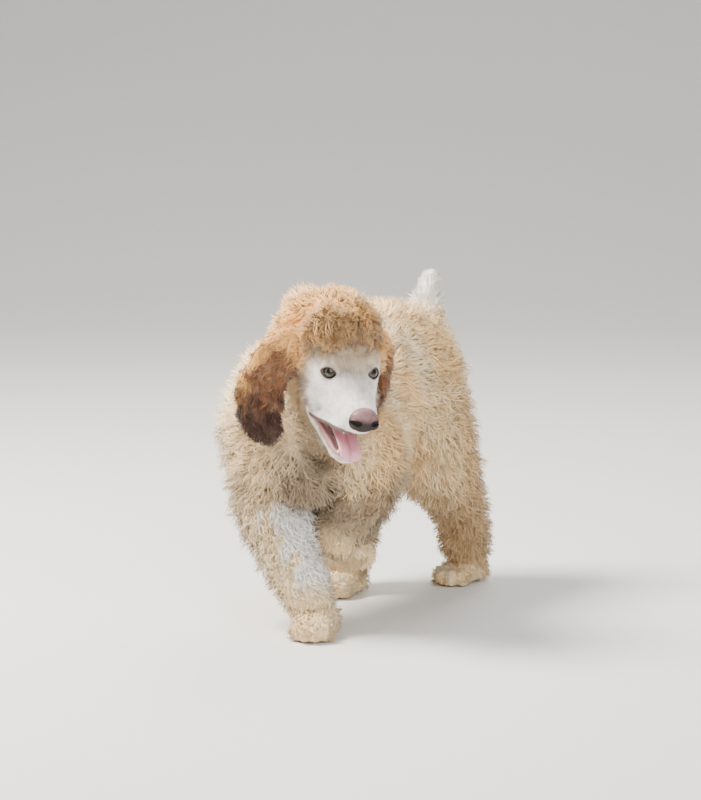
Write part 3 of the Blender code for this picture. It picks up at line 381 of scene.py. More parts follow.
@dataclass
class Trunk:
    """The trunk, curved to its left, with the neck and the tail."""

    spine_radius: float = 0.3786
    half_bend: float = 16.0
    # Degrees along the spine, height, half width, rise above and drop below the middle
    rows: tuple = (
        (-23.0, 0.196, 0.040, 0.042, 0.044),
        (-18.5, 0.202, 0.056, 0.062, 0.060),
        (-12.0, 0.206, 0.060, 0.067, 0.064),
        (-4.0, 0.209, 0.060, 0.066, 0.063),
        (4.0, 0.214, 0.051, 0.070, 0.057),
        (11.0, 0.220, 0.043, 0.071, 0.053),
        (17.0, 0.220, 0.035, 0.062, 0.050),
        (21.5, 0.220, 0.026, 0.044, 0.038),
    )
    # Point, half width, half depth
    neck: tuple = (
        (-0.002, -0.098, 0.205, 0.049, 0.052),
        (0.010, -0.107, 0.228, 0.045, 0.048),
        (0.026, -0.113, 0.248, 0.041, 0.043),
        (0.044, -0.122, 0.266, 0.037, 0.039),
    )
    # Point and radius
    tail: tuple = (
        (0.0090, 0.128, 0.248, 0.0120),
        (0.0085, 0.138, 0.274, 0.0095),
        (0.0070, 0.144, 0.296, 0.0075),
        (0.0050, 0.149, 0.316, 0.0060),
        (0.0040, 0.152, 0.331, 0.0040),
    )
    coat: float = 0.033
    neck_coat: float = 0.030
    tail_coat: float = 0.0145

    def over_spine(self, degrees: float, height: float) -> tuple[Array, Array]:
        """A point over the line of the back and the direction to its left."""
        angle = math.radians(degrees)
        across = np.array((math.cos(angle), -math.sin(angle), 0.0))
        centre = np.array((self.spine_radius * math.cos(math.radians(self.half_bend)), 0.0, 0.0))
        point = centre - self.spine_radius * across
        return np.array((point[0], point[1], height)), across

    def shells(self) -> list[bpy.types.Object]:
        """The bare trunk, neck and tail as closed shells."""
        rings = []
        for degrees, height, half, rise, drop in curve_through(np.array(self.rows), 40):
            centre, across = self.over_spine(degrees, height)
            rings.append(ring_round(centre, across, np.array((0, 0, 1.0)), half, rise, drop, 48))
        neck = curve_through(np.array(self.neck), 14)
        tail = curve_through(np.array(self.tail), 24)
        return [
            closed_mesh("trunk", rings, 0.45),
            closed_mesh("neck", tube(neck[:, :3], neck[:, 3:].mean(axis=1), 40)),
            closed_mesh("tail", tube(tail[:, :3], tail[:, 3], 20), 0.5),
        ]

    def courses(self) -> list[Course]:
        """The axes that the coat is read from."""
        rows = curve_through(np.array(self.rows), 40)
        axis = np.array([self.over_spine(d, h + (r - w) / 2)[0] for d, h, _, r, w in rows])
        neck = curve_through(np.array(self.neck), 14)
        tail = curve_through(np.array(self.tail), 24)
        return [
            Course(Zone.TRUNK, axis, rows[:, 2:].mean(axis=1), self.coat * (1 - 0.12 * step(0, 16, rows[:, 0]))),
            Course(Zone.NECK, neck[:, :3], neck[:, 3], np.full(14, self.neck_coat), -1.0),
            Course(Zone.TAIL, tail[:, :3], tail[:, 3], self.tail_coat * np.linspace(1.2, 0.72, 24)),
        ]


@dataclass
class Paw:
    """A paw: its heel, the way its toes point and how far it is tipped back."""

    heel: tuple[float, float, float]
    heading: tuple[float, float]
    tip: float = 0.0
    length: float = 0.054
    half_width: float = 0.0195
    height: float = 0.022
    # Share of the length, of the half width and of the height
    sections: tuple = (
        (-0.06, 0.60, 0.95), (0.12, 0.82, 1.10), (0.35, 0.92, 1.00), (0.58, 1.00, 0.84), (0.76, 0.96, 0.66),
    )

    @property
    def frame(self) -> tuple[Array, Array, Array]:
        """Ahead, to the side and up."""
        ahead = Vector((*self.heading, 0.0)).normalized()
        side = ahead.cross(Vector((0, 0, 1)))
        turn = Matrix.Rotation(math.radians(-self.tip), 3, side)
        return np.array(turn @ ahead), np.array(side), np.array(turn @ Vector((0, 0, 1)))

    def shells(self) -> list[bpy.types.Object]:
        """The foot with four toes and their pads."""
        ahead, side, up = self.frame
        start = np.array(self.heel)
        rings = []
        for share, wide, tall in curve_through(np.array(self.sections), 14):
            centre = start + ahead * (share * self.length) + up * (self.height * 0.48)
            half = self.half_width * wide
            rings.append(ring_round(centre, side, up, half, self.height * 0.60 * tall, self.height * 0.44, 24))
        shells = [closed_mesh("foot", rings, 0.5)]
        for k, across in enumerate((-0.72, -0.25, 0.25, 0.72)):
            reach = 0.80 if k in (0, 3) else 0.93
            middle = start + ahead * (reach * self.length) + side * (across * self.half_width)
            radii = (self.length * 0.19, self.half_width * 0.30, self.height * 0.46)
            shells.append(ball("toe", middle + up * (self.height * 0.40), radii, (ahead, side, up), 3))
        return shells

    def axis(self) -> Array:
        """Points from the heel to the toes, through the middle of the foot."""
        ahead, _, up = self.frame
        shares = np.linspace(0.0, 0.9, 8)[:, None] * self.length
        return np.array(self.heel) + ahead * shares + up * (self.height * 0.40)


@dataclass
class Limb:
    """One leg: its course from the trunk with its radii and coat depths, and its paw."""

    zone: Zone
    # Point, skin radius and depth of the coat
    path: tuple
    paw: Paw

    def rows(self) -> Array:
        """The course, read closely."""
        return curve_through(np.array(self.path), 44)

    def shells(self) -> list[bpy.types.Object]:
        """The leg and its foot as closed shells."""
        rows = self.rows()
        return [closed_mesh("leg", tube(rows[:, :3], rows[:, 3], 32)), *self.paw.shells()]

    def courses(self) -> list[Course]:
        """The axes that the coat is read from."""
        rows = self.rows()
        foot = self.paw.axis()
        wide = np.full(len(foot), self.paw.half_width * 0.8)
        return [
            Course(self.zone, rows[:, :3], rows[:, 3], rows[:, 4]),
            Course(self.zone, foot, wide, np.linspace(0.0130, 0.0070, len(foot))),
        ]


def four_legs() -> list[Limb]:
    """The right foreleg stepping out, the left one lifted, and the hind legs under the rump."""
    return [
        Limb(Zone.FORE_RIGHT, (
            (-0.0370, -0.1110, 0.200, 0.0340, 0.027), (-0.0270, -0.1210, 0.160, 0.0275, 0.027),
            (-0.0205, -0.1300, 0.125, 0.0240, 0.026), (-0.0020, -0.1375, 0.088, 0.0200, 0.023),
            (0.0205, -0.1450, 0.052, 0.0165, 0.020), (0.0390, -0.1490, 0.024, 0.0145, 0.014),
        ), Paw((0.0400, -0.1400, 0.0), (0.35, -0.94))),
        Limb(Zone.FORE_LEFT, (
            (0.0440, -0.0919, 0.196, 0.0370, 0.027), (0.0490, -0.0770, 0.170, 0.0330, 0.027),
            (0.0490, -0.0670, 0.146, 0.0255, 0.026), (0.0450, -0.0850, 0.118, 0.0200, 0.023),
            (0.0410, -0.1040, 0.094, 0.0165, 0.019), (0.0400, -0.1030, 0.082, 0.0145, 0.012),
        ), Paw((0.0400, -0.1130, 0.0790), (-0.02, 1.0), 28.0)),
        Limb(Zone.HIND_RIGHT, (
            (-0.0230, 0.1040, 0.206, 0.0370, 0.027), (-0.0370, 0.0780, 0.176, 0.0360, 0.027),
            (-0.0450, 0.0590, 0.148, 0.0290, 0.026), (-0.0460, 0.0640, 0.112, 0.0200, 0.024),
            (-0.0450, 0.0700, 0.080, 0.0160, 0.022), (-0.0410, 0.0540, 0.042, 0.0150, 0.020),
            (-0.0400, 0.0460, 0.022, 0.0145, 0.013),
        ), Paw((-0.0390, 0.0560, 0.0), (0.10, -1.0))),
        Limb(Zone.HIND_LEFT, (
            (0.0200, 0.0980, 0.206, 0.0370, 0.027), (0.0300, 0.0920, 0.174, 0.0360, 0.027),
            (0.0410, 0.0970, 0.142, 0.0290, 0.026), (0.0455, 0.1210, 0.110, 0.0200, 0.024),
            (0.0470, 0.1430, 0.082, 0.0160, 0.022), (0.0445, 0.1600, 0.044, 0.0150, 0.020),
            (0.0440, 0.1650, 0.022, 0.0145, 0.013),
        ), Paw((0.0440, 0.1780, 0.0), (-0.05, -1.0))),
    ]


@dataclass
class Eye:
    """One eye: its place in the head, its ball and the almond between its lids."""

    side: int
    head: HeadFrame
    spread: float = 0.0205
    radius: float = 0.0088
    lid_steps: int = 40

    @property
    def frame(self) -> tuple[Array, Array, Array, Array]:
        """The centre and the directions of the gaze, the width and the height."""
        forward, left, up = self.head.axes
        gaze = unit(forward * 0.88 + left * (self.side * 0.45) + up * 0.30)
        wide = unit(np.cross(up, gaze))
        return self.head.at((0.0010, self.side * self.spread, 0.0)), gaze, wide, np.cross(gaze, wide)

    def lid_edge(self, radius: float, spread: float = 1.0, lift_more: float = 0.0) -> Array:
        """The almond edge of the lids, on a ball round the eye."""
        centre, gaze, wide, tall = self.frame
        angle = np.arange(self.lid_steps) * 2 * math.pi / self.lid_steps
        across = math.radians(54.0) * np.cos(angle) * spread
        lift = math.radians(31.0) * np.sin(angle) * np.abs(np.sin(angle)) ** 0.25 * spread + lift_more
        tilt = math.sin(math.radians(8.0)) * across * self.side
        way = gaze + np.outer(np.tan(across), wide) + np.outer(np.tan(lift) + tilt, tall)
        return centre + unit(way) * radius

    def shells(self) -> list[bpy.types.Object]:
        """The lids and the swell round the eye."""
        centre = self.frame[0]
        path = self.lid_edge(self.radius + 0.0004)
        ahead = unit(np.roll(path, -1, axis=0) - np.roll(path, 1, axis=0))
        out = unit(path - centre)
        away = unit(np.cross(ahead, out))
        rings = [ring_round(p, o, a, 0.0013, 0.0015, 0.0015, 12) for p, o, a in zip(path, out, away)]
        count, sides = len(rings), 12
        faces = []
        for k in range(count):
            for n in range(sides):
                a, b = k * sides + n, k * sides + (n + 1) % sides
                c, d = ((k + 1) % count) * sides + n, ((k + 1) % count) * sides + (n + 1) % sides
                faces.append((a, b, d, c))
        swell = (self.radius + 0.0016,) * 3
        return [mesh_piece("lids", np.concatenate(rings), faces), ball("orbit", centre, swell, self.head.axes)]

    def cutters(self) -> list[bpy.types.Object]:
        """The socket and the opening between the lids."""
        inner, outer = self.lid_edge(self.radius * 0.5, 0.90), self.lid_edge(self.radius * 1.7, 0.93)
        count = len(inner)
        faces: list[tuple[int, ...]] = [tuple(range(count)), tuple(range(count, 2 * count))]
        faces += [(k, (k + 1) % count, (k + 1) % count + count, k + count) for k in range(count)]
        opening = mesh_piece("opening", np.concatenate([inner, outer]), faces)
        return [ball("socket", self.frame[0], (self.radius + 0.0001,) * 3, self.head.axes), opening]

    def globe(self) -> bpy.types.Object:
        """The eyeball with a slight swell of the cornea, its pole along the gaze."""
        centre = self.frame[0]
        forward, left, up = self.head.axes
        gaze = unit(forward * 0.83 + left * (self.side * 0.24) + up * 0.48)
        wide = unit(np.cross(up, gaze))
        tall = np.cross(gaze, wide)
        work = bmesh.new()
        bmesh.ops.create_uvsphere(work, u_segments=64, v_segments=48, radius=1.0)
        points = np.array([v.co for v in work.verts])
        faces = [tuple(v.index for v in f.verts) for f in work.faces]
        work.free()
        bulge = 1.0 + 0.045 * step(0.80, 0.97, points[:, 2])
        axes = np.array((wide, tall, gaze))
        thing = mesh_piece(f"eye_{'right' if self.side < 0 else 'left'}_globe",
                           centre + (points * bulge[:, None] * self.radius) @ axes, faces)
        put_values(thing.data, "gaze", points)
        return thing


def put_values(mesh: bpy.types.Mesh, name: str, values: Array) -> None:
    """Writes one number or one triple for each point of a mesh."""
    kind, slot = ("FLOAT", "value") if values.ndim == 1 else ("FLOAT_VECTOR", "vector")
    made = mesh.attributes.new(name, kind, "POINT")
    made.data.foreach_set(slot, np.ascontiguousarray(values, np.float32).ravel())


@dataclass
class Head:
    """The skull, muzzle, cheeks, lips, jaws and lids under the coat."""

    frame: HeadFrame
    # Forward, middle height, half width, rise, drop
    skull: tuple = (
        (0.0580, -0.0250, 0.0130, 0.0100, 0.0128), (0.0500, -0.0250, 0.0172, 0.0132, 0.0165),
        (0.0370, -0.0235, 0.0204, 0.0158, 0.0205), (0.0240, -0.0200, 0.0230, 0.0184, 0.0255),
        (0.0120, -0.0150, 0.0264, 0.0214, 0.0320), (0.0000, -0.0080, 0.0325, 0.0264, 0.0380),
        (-0.0180, -0.0010, 0.0378, 0.0315, 0.0400), (-0.0400, 0.0020, 0.0390, 0.0340, 0.0420),
        (-0.0600, 0.0030, 0.0350, 0.0310, 0.0380), (-0.0770, 0.0030, 0.0260, 0.0230, 0.0290),
    )
    jaw: tuple = (
        (0.0460, -0.0505, 0.0090, 0.0030, 0.0055), (0.0390, -0.0510, 0.0130, 0.0040, 0.0075),
        (0.0250, -0.0515, 0.0155, 0.0045, 0.0090), (0.0080, -0.0515, 0.0190, 0.0050, 0.0110),
        (-0.0080, -0.0505, 0.0235, 0.0060, 0.0125), (-0.0220, -0.0480, 0.0260, 0.0080, 0.0130),
    )
    throat: tuple = (
        (-0.0300, -0.0400, 0.0280, 0.0120, 0.0170), (-0.0450, -0.0300, 0.0300, 0.0160, 0.0220),
    )
    palate: tuple = (
        (0.0480, -0.0430, 0.0060, 0.0040, 0.0200), (0.0420, -0.0420, 0.0085, 0.0065, 0.0200),
        (0.0200, -0.0450, 0.0125, 0.0105, 0.0200), (0.0020, -0.0480, 0.0150, 0.0120, 0.0200),
        (-0.0100, -0.0500, 0.0150, 0.0120, 0.0130),
    )
    mouth_floor: tuple = (
        (0.0400, -0.0455, 0.0070, 0.0060, 0.0040), (0.0240, -0.0455, 0.0100, 0.0060, 0.0055),
        (0.0060, -0.0455, 0.0140, 0.0060, 0.0060), (-0.0090, -0.0455, 0.0170, 0.0060, 0.0050),
    )
    # The edges of the lips: forward, left, up, radius
    upper_lip: tuple = (
        (0.0510, 0.0066, -0.0396, 0.0029), (0.0400, 0.0128, -0.0418, 0.0036), (0.0220, 0.0180, -0.0442, 0.0041),
        (0.0060, 0.0230, -0.0470, 0.0043), (-0.0090, 0.0268, -0.0492, 0.0042),
    )
    lower_lip: tuple = (
        (0.0455, 0.0030, -0.0482, 0.0021), (0.0390, 0.0105, -0.0479, 0.0023), (0.0240, 0.0140, -0.0477, 0.0025),
        (0.0060, 0.0180, -0.0477, 0.0027), (-0.0110, 0.0230, -0.0477, 0.0030),
    )
    inset: float = 0.0011
    crest_middle: tuple[float, float, float] = (-0.0370, -0.0025, 0.0175)
    crest_sizes: tuple[float, float, float] = (0.0370, 0.0370, 0.0325)

    def ring(self, row: Array, count: int, inset: float = 0.0) -> Array:
        """A ring square to the head's forward direction."""
        forward, height, half, rise, drop = row
        _, left, up = self.frame.axes
        square = 0.72 + 0.18 * float(step(0.012, -0.010, np.array(forward)))
        centre = self.frame.at((forward, 0, height))
        return ring_round(centre, left, up, half - inset, rise - inset, drop - inset, count, square)

    def jaw_ring(self, row: Array, count: int) -> Array:
        """A ring square to the dropped jaw."""
        forward, height, half, rise, drop = row
        centre = self.frame.jaw_at((forward, 0, height))[0]
        return ring_round(centre, self.frame.axes[1], self.frame.jaw_up, half, rise, drop, count)

    def lip_line(self, side: int, upper: bool, count: int = 30) -> Array:
        """The edge of a lip on one side, as points and radii."""
        rows = curve_through(np.array(self.upper_lip if upper else self.lower_lip), count)
        places = rows[:, :3] * (1, side, 1)
        points = self.frame.at(places) if upper else self.frame.jaw_at(places)
        return np.hstack([points, rows[:, 3:]])

    def lip_edge(self, side: int, upper: bool, count: int = 30) -> Array:
        """Where the fur of a lip meets its moist edge, as points."""
        rows = self.lip_line(side, upper, count)
        out = self.frame.axes[1] * side
        way = unit(out * 0.8 - self.frame.axes[2]) if upper else unit(self.frame.jaw_up - out * 0.3)
        return rows[:, :3] + np.outer(rows[:, 3] * 0.9, way)

    def eyes(self) -> list[Eye]:
        """The right eye and the left one."""
        return [Eye(-1, self.frame), Eye(1, self.frame)]

    def shells(self) -> list[bpy.types.Object]:
        """All that the head's skin is drawn over, as closed shells."""
        at, axes = self.frame.at, self.frame.axes
        skull = [self.ring(row, 56, self.inset) for row in curve_through(np.array(self.skull), 56)]
        jaw = [self.jaw_ring(row, 36) for row in curve_through(np.array(self.jaw), 30)]
        throat = [self.jaw_ring(row, 36) for row in ((-0.002, -0.0505, 0.0225, 0.006, 0.012),
                                                     (-0.016, -0.049, 0.0255, 0.008, 0.0135))]
        throat += [self.ring(row, 36) for row in self.throat]
        shells = [closed_mesh("skull", skull, 0.4), closed_mesh("jaw", jaw, 0.4), closed_mesh("throat", throat, 0.3)]
        crest = [size for size in self.crest_sizes]
        shells.append(ball("crest", at(self.crest_middle), crest, axes, 5))
        for eye in self.eyes():
            side = eye.side
            shells += eye.shells()
            shells.append(ball("brow", at((-0.0115, side * 0.0190, 0.0085)), (0.015, 0.013, 0.0115), axes))
            shells.append(ball("cheek", at((-0.0190, side * 0.0225, -0.0290)), (0.0245, 0.0140, 0.0205), axes))
            shells.append(ball("flew", at((0.0390, side * 0.0092, -0.0320)), (0.0185, 0.0090, 0.0080), axes))
            for upper in (True, False):
                rows = self.lip_line(side, upper)
                shells.append(closed_mesh("lip", tube(rows[:, :3], rows[:, 3], 16), 0.8))
            rows = self.lip_line(side, True)
            over = rows[:, :3] + axes[2] * 0.0050 - axes[1] * (side * 0.0022)
            shells.append(closed_mesh("flap", tube(over, rows[:, 3] + 0.0004, 16), 0.8))
            corner = self.lip_line(side, True)[-1, :3] * 0.5 + self.lip_line(side, False)[-1, :3] * 0.5
            shells.append(ball("corner", corner - axes[0] * 0.004, (0.0045, 0.0032, 0.0050), axes))
        return shells

    def hollows(self) -> list[bpy.types.Object]:
        """What is cut out of the head: the sockets and the roof and floor of the mouth."""
        roof = [self.ring(row, 32) for row in curve_through(np.array(self.palate), 24)]
        floor = [self.jaw_ring(row, 32) for row in curve_through(np.array(self.mouth_floor), 20)]
        cutters = [closed_mesh("roof", roof, 0.3), closed_mesh("floor", floor, 0.3)]
        for eye in self.eyes():
            cutters += eye.cutters()
        return cutters


@dataclass
class Ear:
    """One hanging ear: a thin leaf of skin with its long coat."""

    side: int
    head: HeadFrame
    # Forward, outward, up, half width
    right: tuple = (
        (-0.034, 0.034, 0.018, 0.015), (-0.037, 0.052, 0.008, 0.018), (-0.038, 0.067, -0.014, 0.021),
        (-0.035, 0.074, -0.040, 0.0235), (-0.029, 0.073, -0.062, 0.0215), (-0.022, 0.066, -0.078, 0.0150),
    )
    left: tuple = (
        (-0.036, 0.031, 0.018, 0.015), (-0.039, 0.046, 0.005, 0.019), (-0.041, 0.052, -0.019, 0.022),
        (-0.043, 0.050, -0.043, 0.022), (-0.045, 0.044, -0.063, 0.018), (-0.045, 0.037, -0.076, 0.010),
    )
    thick: float = 0.0028
    coat: float = 0.0120

    @property
    def zone(self) -> Zone:
        """The ear's part of the coat."""
        return Zone.EAR_RIGHT if self.side < 0 else Zone.EAR_LEFT

    def rows(self) -> tuple[Array, Array, Array]:
        """Middles down the ear, their half widths and the way that each place faces."""
        path = curve_through(np.array(self.right if self.side < 0 else self.left), 36)
        centres = self.head.at(path[:, :3] * (1, self.side, 1))
        facing = 0.80 if self.side < 0 else 0.30
        forward, left, _ = self.head.axes
        down = unit(np.gradient(centres, axis=0))
        face = forward * facing + left * (self.side * math.sqrt(1 - facing**2))
        face = unit(face - down * (down @ face)[:, None])
        return centres, path[:, 3], face

    def shells(self) -> list[bpy.types.Object]:
        """The leaf, a little hollow behind."""
        centres, half, face = self.rows()
        down = unit(np.gradient(centres, axis=0))
        rings = []
        for centre, width, out, way in zip(centres, half - 0.004, face, down):
            rings.append(ring_round(centre, np.cross(way, out), out, width, self.thick, self.thick * 0.8, 40))
        return [closed_mesh("leaf", rings, 0.5)]

    def course(self) -> Course:
        """The axis that the ear's coat is read from."""
        centres, half, face = self.rows()
        return Course(self.zone, centres, half, np.full(len(half), self.coat), face=face, thin=0.0060)


@dataclass
class Fleece:
    """Values of the coat at places on the skin."""

    zone: Array
    length: Array
    stand: Array
    lie: Array
    tint: Array
    chart: Array

    def some(self, chosen: Array) -> Fleece:
        """The values at the chosen places."""
        return Fleece(*(getattr(self, name)[chosen] for name in
                        ("zone", "length", "stand", "lie", "tint", "chart")))


ZONES = list(Zone)


@dataclass(frozen=True)
class Markings:
    """The colours of the coat, by part of the body, with some painted shade and painted light laid in."""

    apricot: Rgb = linear(246, 202, 140)
    cream: Rgb = linear(251, 228, 186)
    greyish: Rgb = linear(222, 204, 176)
    russet: Rgb = linear(200, 162, 116)
    white: Rgb = linear(253, 251, 246)
    orange: Rgb = linear(247, 186, 112)
    umber: Rgb = linear(144, 116, 88)
    bark: Rgb = linear(128, 86, 60)
    sable: Rgb = linear(54, 33, 29)
    fawn: Rgb = linear(196, 172, 140)
    rosy: Rgb = linear(186, 150, 134)
    # This colour is painted shade: it darkens the breast, the forelegs and the lower hind legs.
    shade_taupe: Rgb = linear(140, 122, 102)

    def mixed(self, under: Array, over: Rgb, share: Array) -> Array:
        """One set of colours laid over another by a share from 0 to 1."""
        share = np.clip(share, 0, 1)[:, None]
        return under * (1 - share) + np.array(over) * share

    def body(self, points: Array) -> Array:
        """The trunk: apricot over the back and sides, paler under the neck, with painted shade darkening the breast.
        """
        tint = np.tile(np.array(self.apricot), (len(points), 1))
        tint = self.mixed(tint, self.cream, 0.45 + 0.45 * waves(points, 3, 0.09) + 0.30 * waves(points, 4, 0.018))
        tint = self.mixed(tint, self.russet, 0.50 * step(0.2, 1.5, waves(points, 5, 0.045)))
        tint = self.mixed(tint, self.russet, 0.35 * step(0.5, 1.6, waves(points, 6, 0.016)))
        front = step(-0.085, -0.135, points[:, 1]) * step(0.27, 0.20, points[:, 2])
        tint = self.mixed(tint, self.greyish, 0.45 * front)
        # Painted shade: the breast under the jaw, between the forelegs, is darkened.
        breast = np.linalg.norm((points - (0.030, -0.145, 0.150)) / (0.034, 0.05, 0.050), axis=1)
        tint = self.mixed(tint, self.shade_taupe, 0.95 * step(1.35, 0.4, breast))
        flank = step(0.03, 0.11, points[:, 1]) * step(0.27, 0.17, points[:, 2])
        return self.mixed(tint, self.russet, 0.35 * flank)

    def leg(self, zone: Zone, points: Array, normals: Array, share: Array) -> Array:
        """A leg: russet down the hind legs, cream and white down the right foreleg, with painted shade darkening the
        lower hind legs, the lifted left foreleg below its top and the upper right foreleg.
        """
        tint = self.body(points)
        if zone in (Zone.HIND_LEFT, Zone.HIND_RIGHT):
            tint = self.mixed(tint, self.russet, 0.30 * step(0.15, 0.5, share) * step(1.0, 0.75, share))
            # Painted shade: the lower hind leg is darkened.
            tint = self.mixed(tint, self.shade_taupe, 0.45 * step(0.25, 0.6, share))
        if zone is Zone.FORE_LEFT:
            # Painted shade: the lifted left foreleg is darkened below its top.
            tint = self.mixed(tint, self.shade_taupe, 0.75 * step(0.1, 0.4, share))
        if zone is Zone.FORE_RIGHT:
            # Painted shade: the upper right foreleg, under the breast, is darkened.
            tint = self.mixed(tint, self.shade_taupe, 0.35 * step(0.6, 0.3, share))
            tint = self.mixed(tint, self.cream, 0.6 * step(0.5, 0.8, share))
            inner = unit(np.array((0.95, -0.31, 0.0)))
            facing = step(0.46, 0.84, normals @ inner + 0.06 * waves(points, 9, 0.010))
            tint = self.mixed(tint, self.white, facing * step(0.26, 0.38, share) * step(0.97, 0.85, share))
        return tint

    def foot(self, points: Array) -> Array:
        """A paw, cream with warmer toes."""
        tint = np.tile(np.array(self.cream), (len(points), 1))
        return self.mixed(tint, self.apricot, 0.35 + 0.25 * waves(points, 8, 0.02))

    def tail(self, points: Array, share: Array) -> Array:
        """The tail, white above its root."""
        return self.mixed(self.body(points), self.white, 0.92 * step(0.42, 0.68, share))

    def head(self, places: Array, crown: Array) -> Array:
        """The head: a white face, fawn brows, an orange crown with umber curls in front.

        Args:
            places: Forward, left and up distances.
            crown: Share of the crown's long coat, from 0 to 1.

        Returns:
            One linear colour for each place.
        """
        forward, left, up = places.T
        tint = np.tile(np.array(self.white), (len(places), 1))
        middle = step(0.017, 0.010, np.abs(left))
        level = up + 0.007 * middle + 0.003 * waves(places, 15, 0.010)
        brow = step(0.000, 0.011, level) * step(0.027, 0.010, forward)
        tint = self.mixed(tint, self.fawn, 0.85 * brow)
        tint = self.mixed(tint, self.umber, 0.35 * brow * step(0.2, 1.2, waves(places, 16, 0.009)))
        for side in (-1, 1):
            inner = np.linalg.norm((places - (0.011, side * 0.011, -0.004)) / (0.008, 0.005, 0.006), axis=1)
            tint = self.mixed(tint, self.rosy, 0.35 * step(1.5, 0.4, inner))
        # Painted shade: greyish blotches over the face stand in for the soft shadows of its short fur.
        tint = self.mixed(tint, self.greyish, 0.45 * step(0.0, 1.3, waves(places, 17, 0.008)))
        back = np.maximum(step(-0.012, -0.040, forward), step(0.031, 0.040, np.abs(left)))
        tint = self.mixed(tint, self.apricot, 0.85 * back)
        tint = self.mixed(tint, self.cream, 0.4 * step(-0.040, -0.060, up) * step(0.000, -0.030, forward))
        top = self.mixed(np.tile(np.array(self.orange), (len(places), 1)), self.apricot,
                         0.30 + 0.25 * waves(places, 12, 0.03))
        front = step(-0.052, -0.016, forward) * step(0.068, 0.040, up)
        top = self.mixed(top, self.umber, front * (0.78 + 0.22 * waves(places, 14, 0.014)))
        temple = step(0.018, 0.034, left) * step(-0.045, -0.015, forward) * step(0.05, 0.02, up)
        top = self.mixed(top, self.bark, 0.45 * temple)
        return tint * (1 - crown)[:, None] + top * crown[:, None]

    def ear(self, points: Array, share: Array, across: Array) -> Array:
        """An ear: orange at its root and back edge, the back edge partly its own orange and partly painted sunlight on
        the rim, brown down the leaf, darkest at the tip.
        """
        tint = np.tile(np.array(self.bark), (len(points), 1))
        edge = step(0.20, 0.80, across + 0.25 * waves(points, 21, 0.02))
        tint = self.mixed(tint, self.umber, 0.60 * step(-0.2, 1.0, waves(points, 22, 0.012)))
        # The orange along the back edge is partly the ear's own colour and partly painted sunlight on its rim.
        tint = self.mixed(tint, self.orange, 0.90 * edge * step(0.80, 0.45, share))
        tint = self.mixed(tint, self.orange, 0.95 * step(0.28, 0.08, share))
        return self.mixed(tint, self.sable, 0.95 * step(0.50, 0.88, share + 0.10 * waves(points, 23, 0.012)))


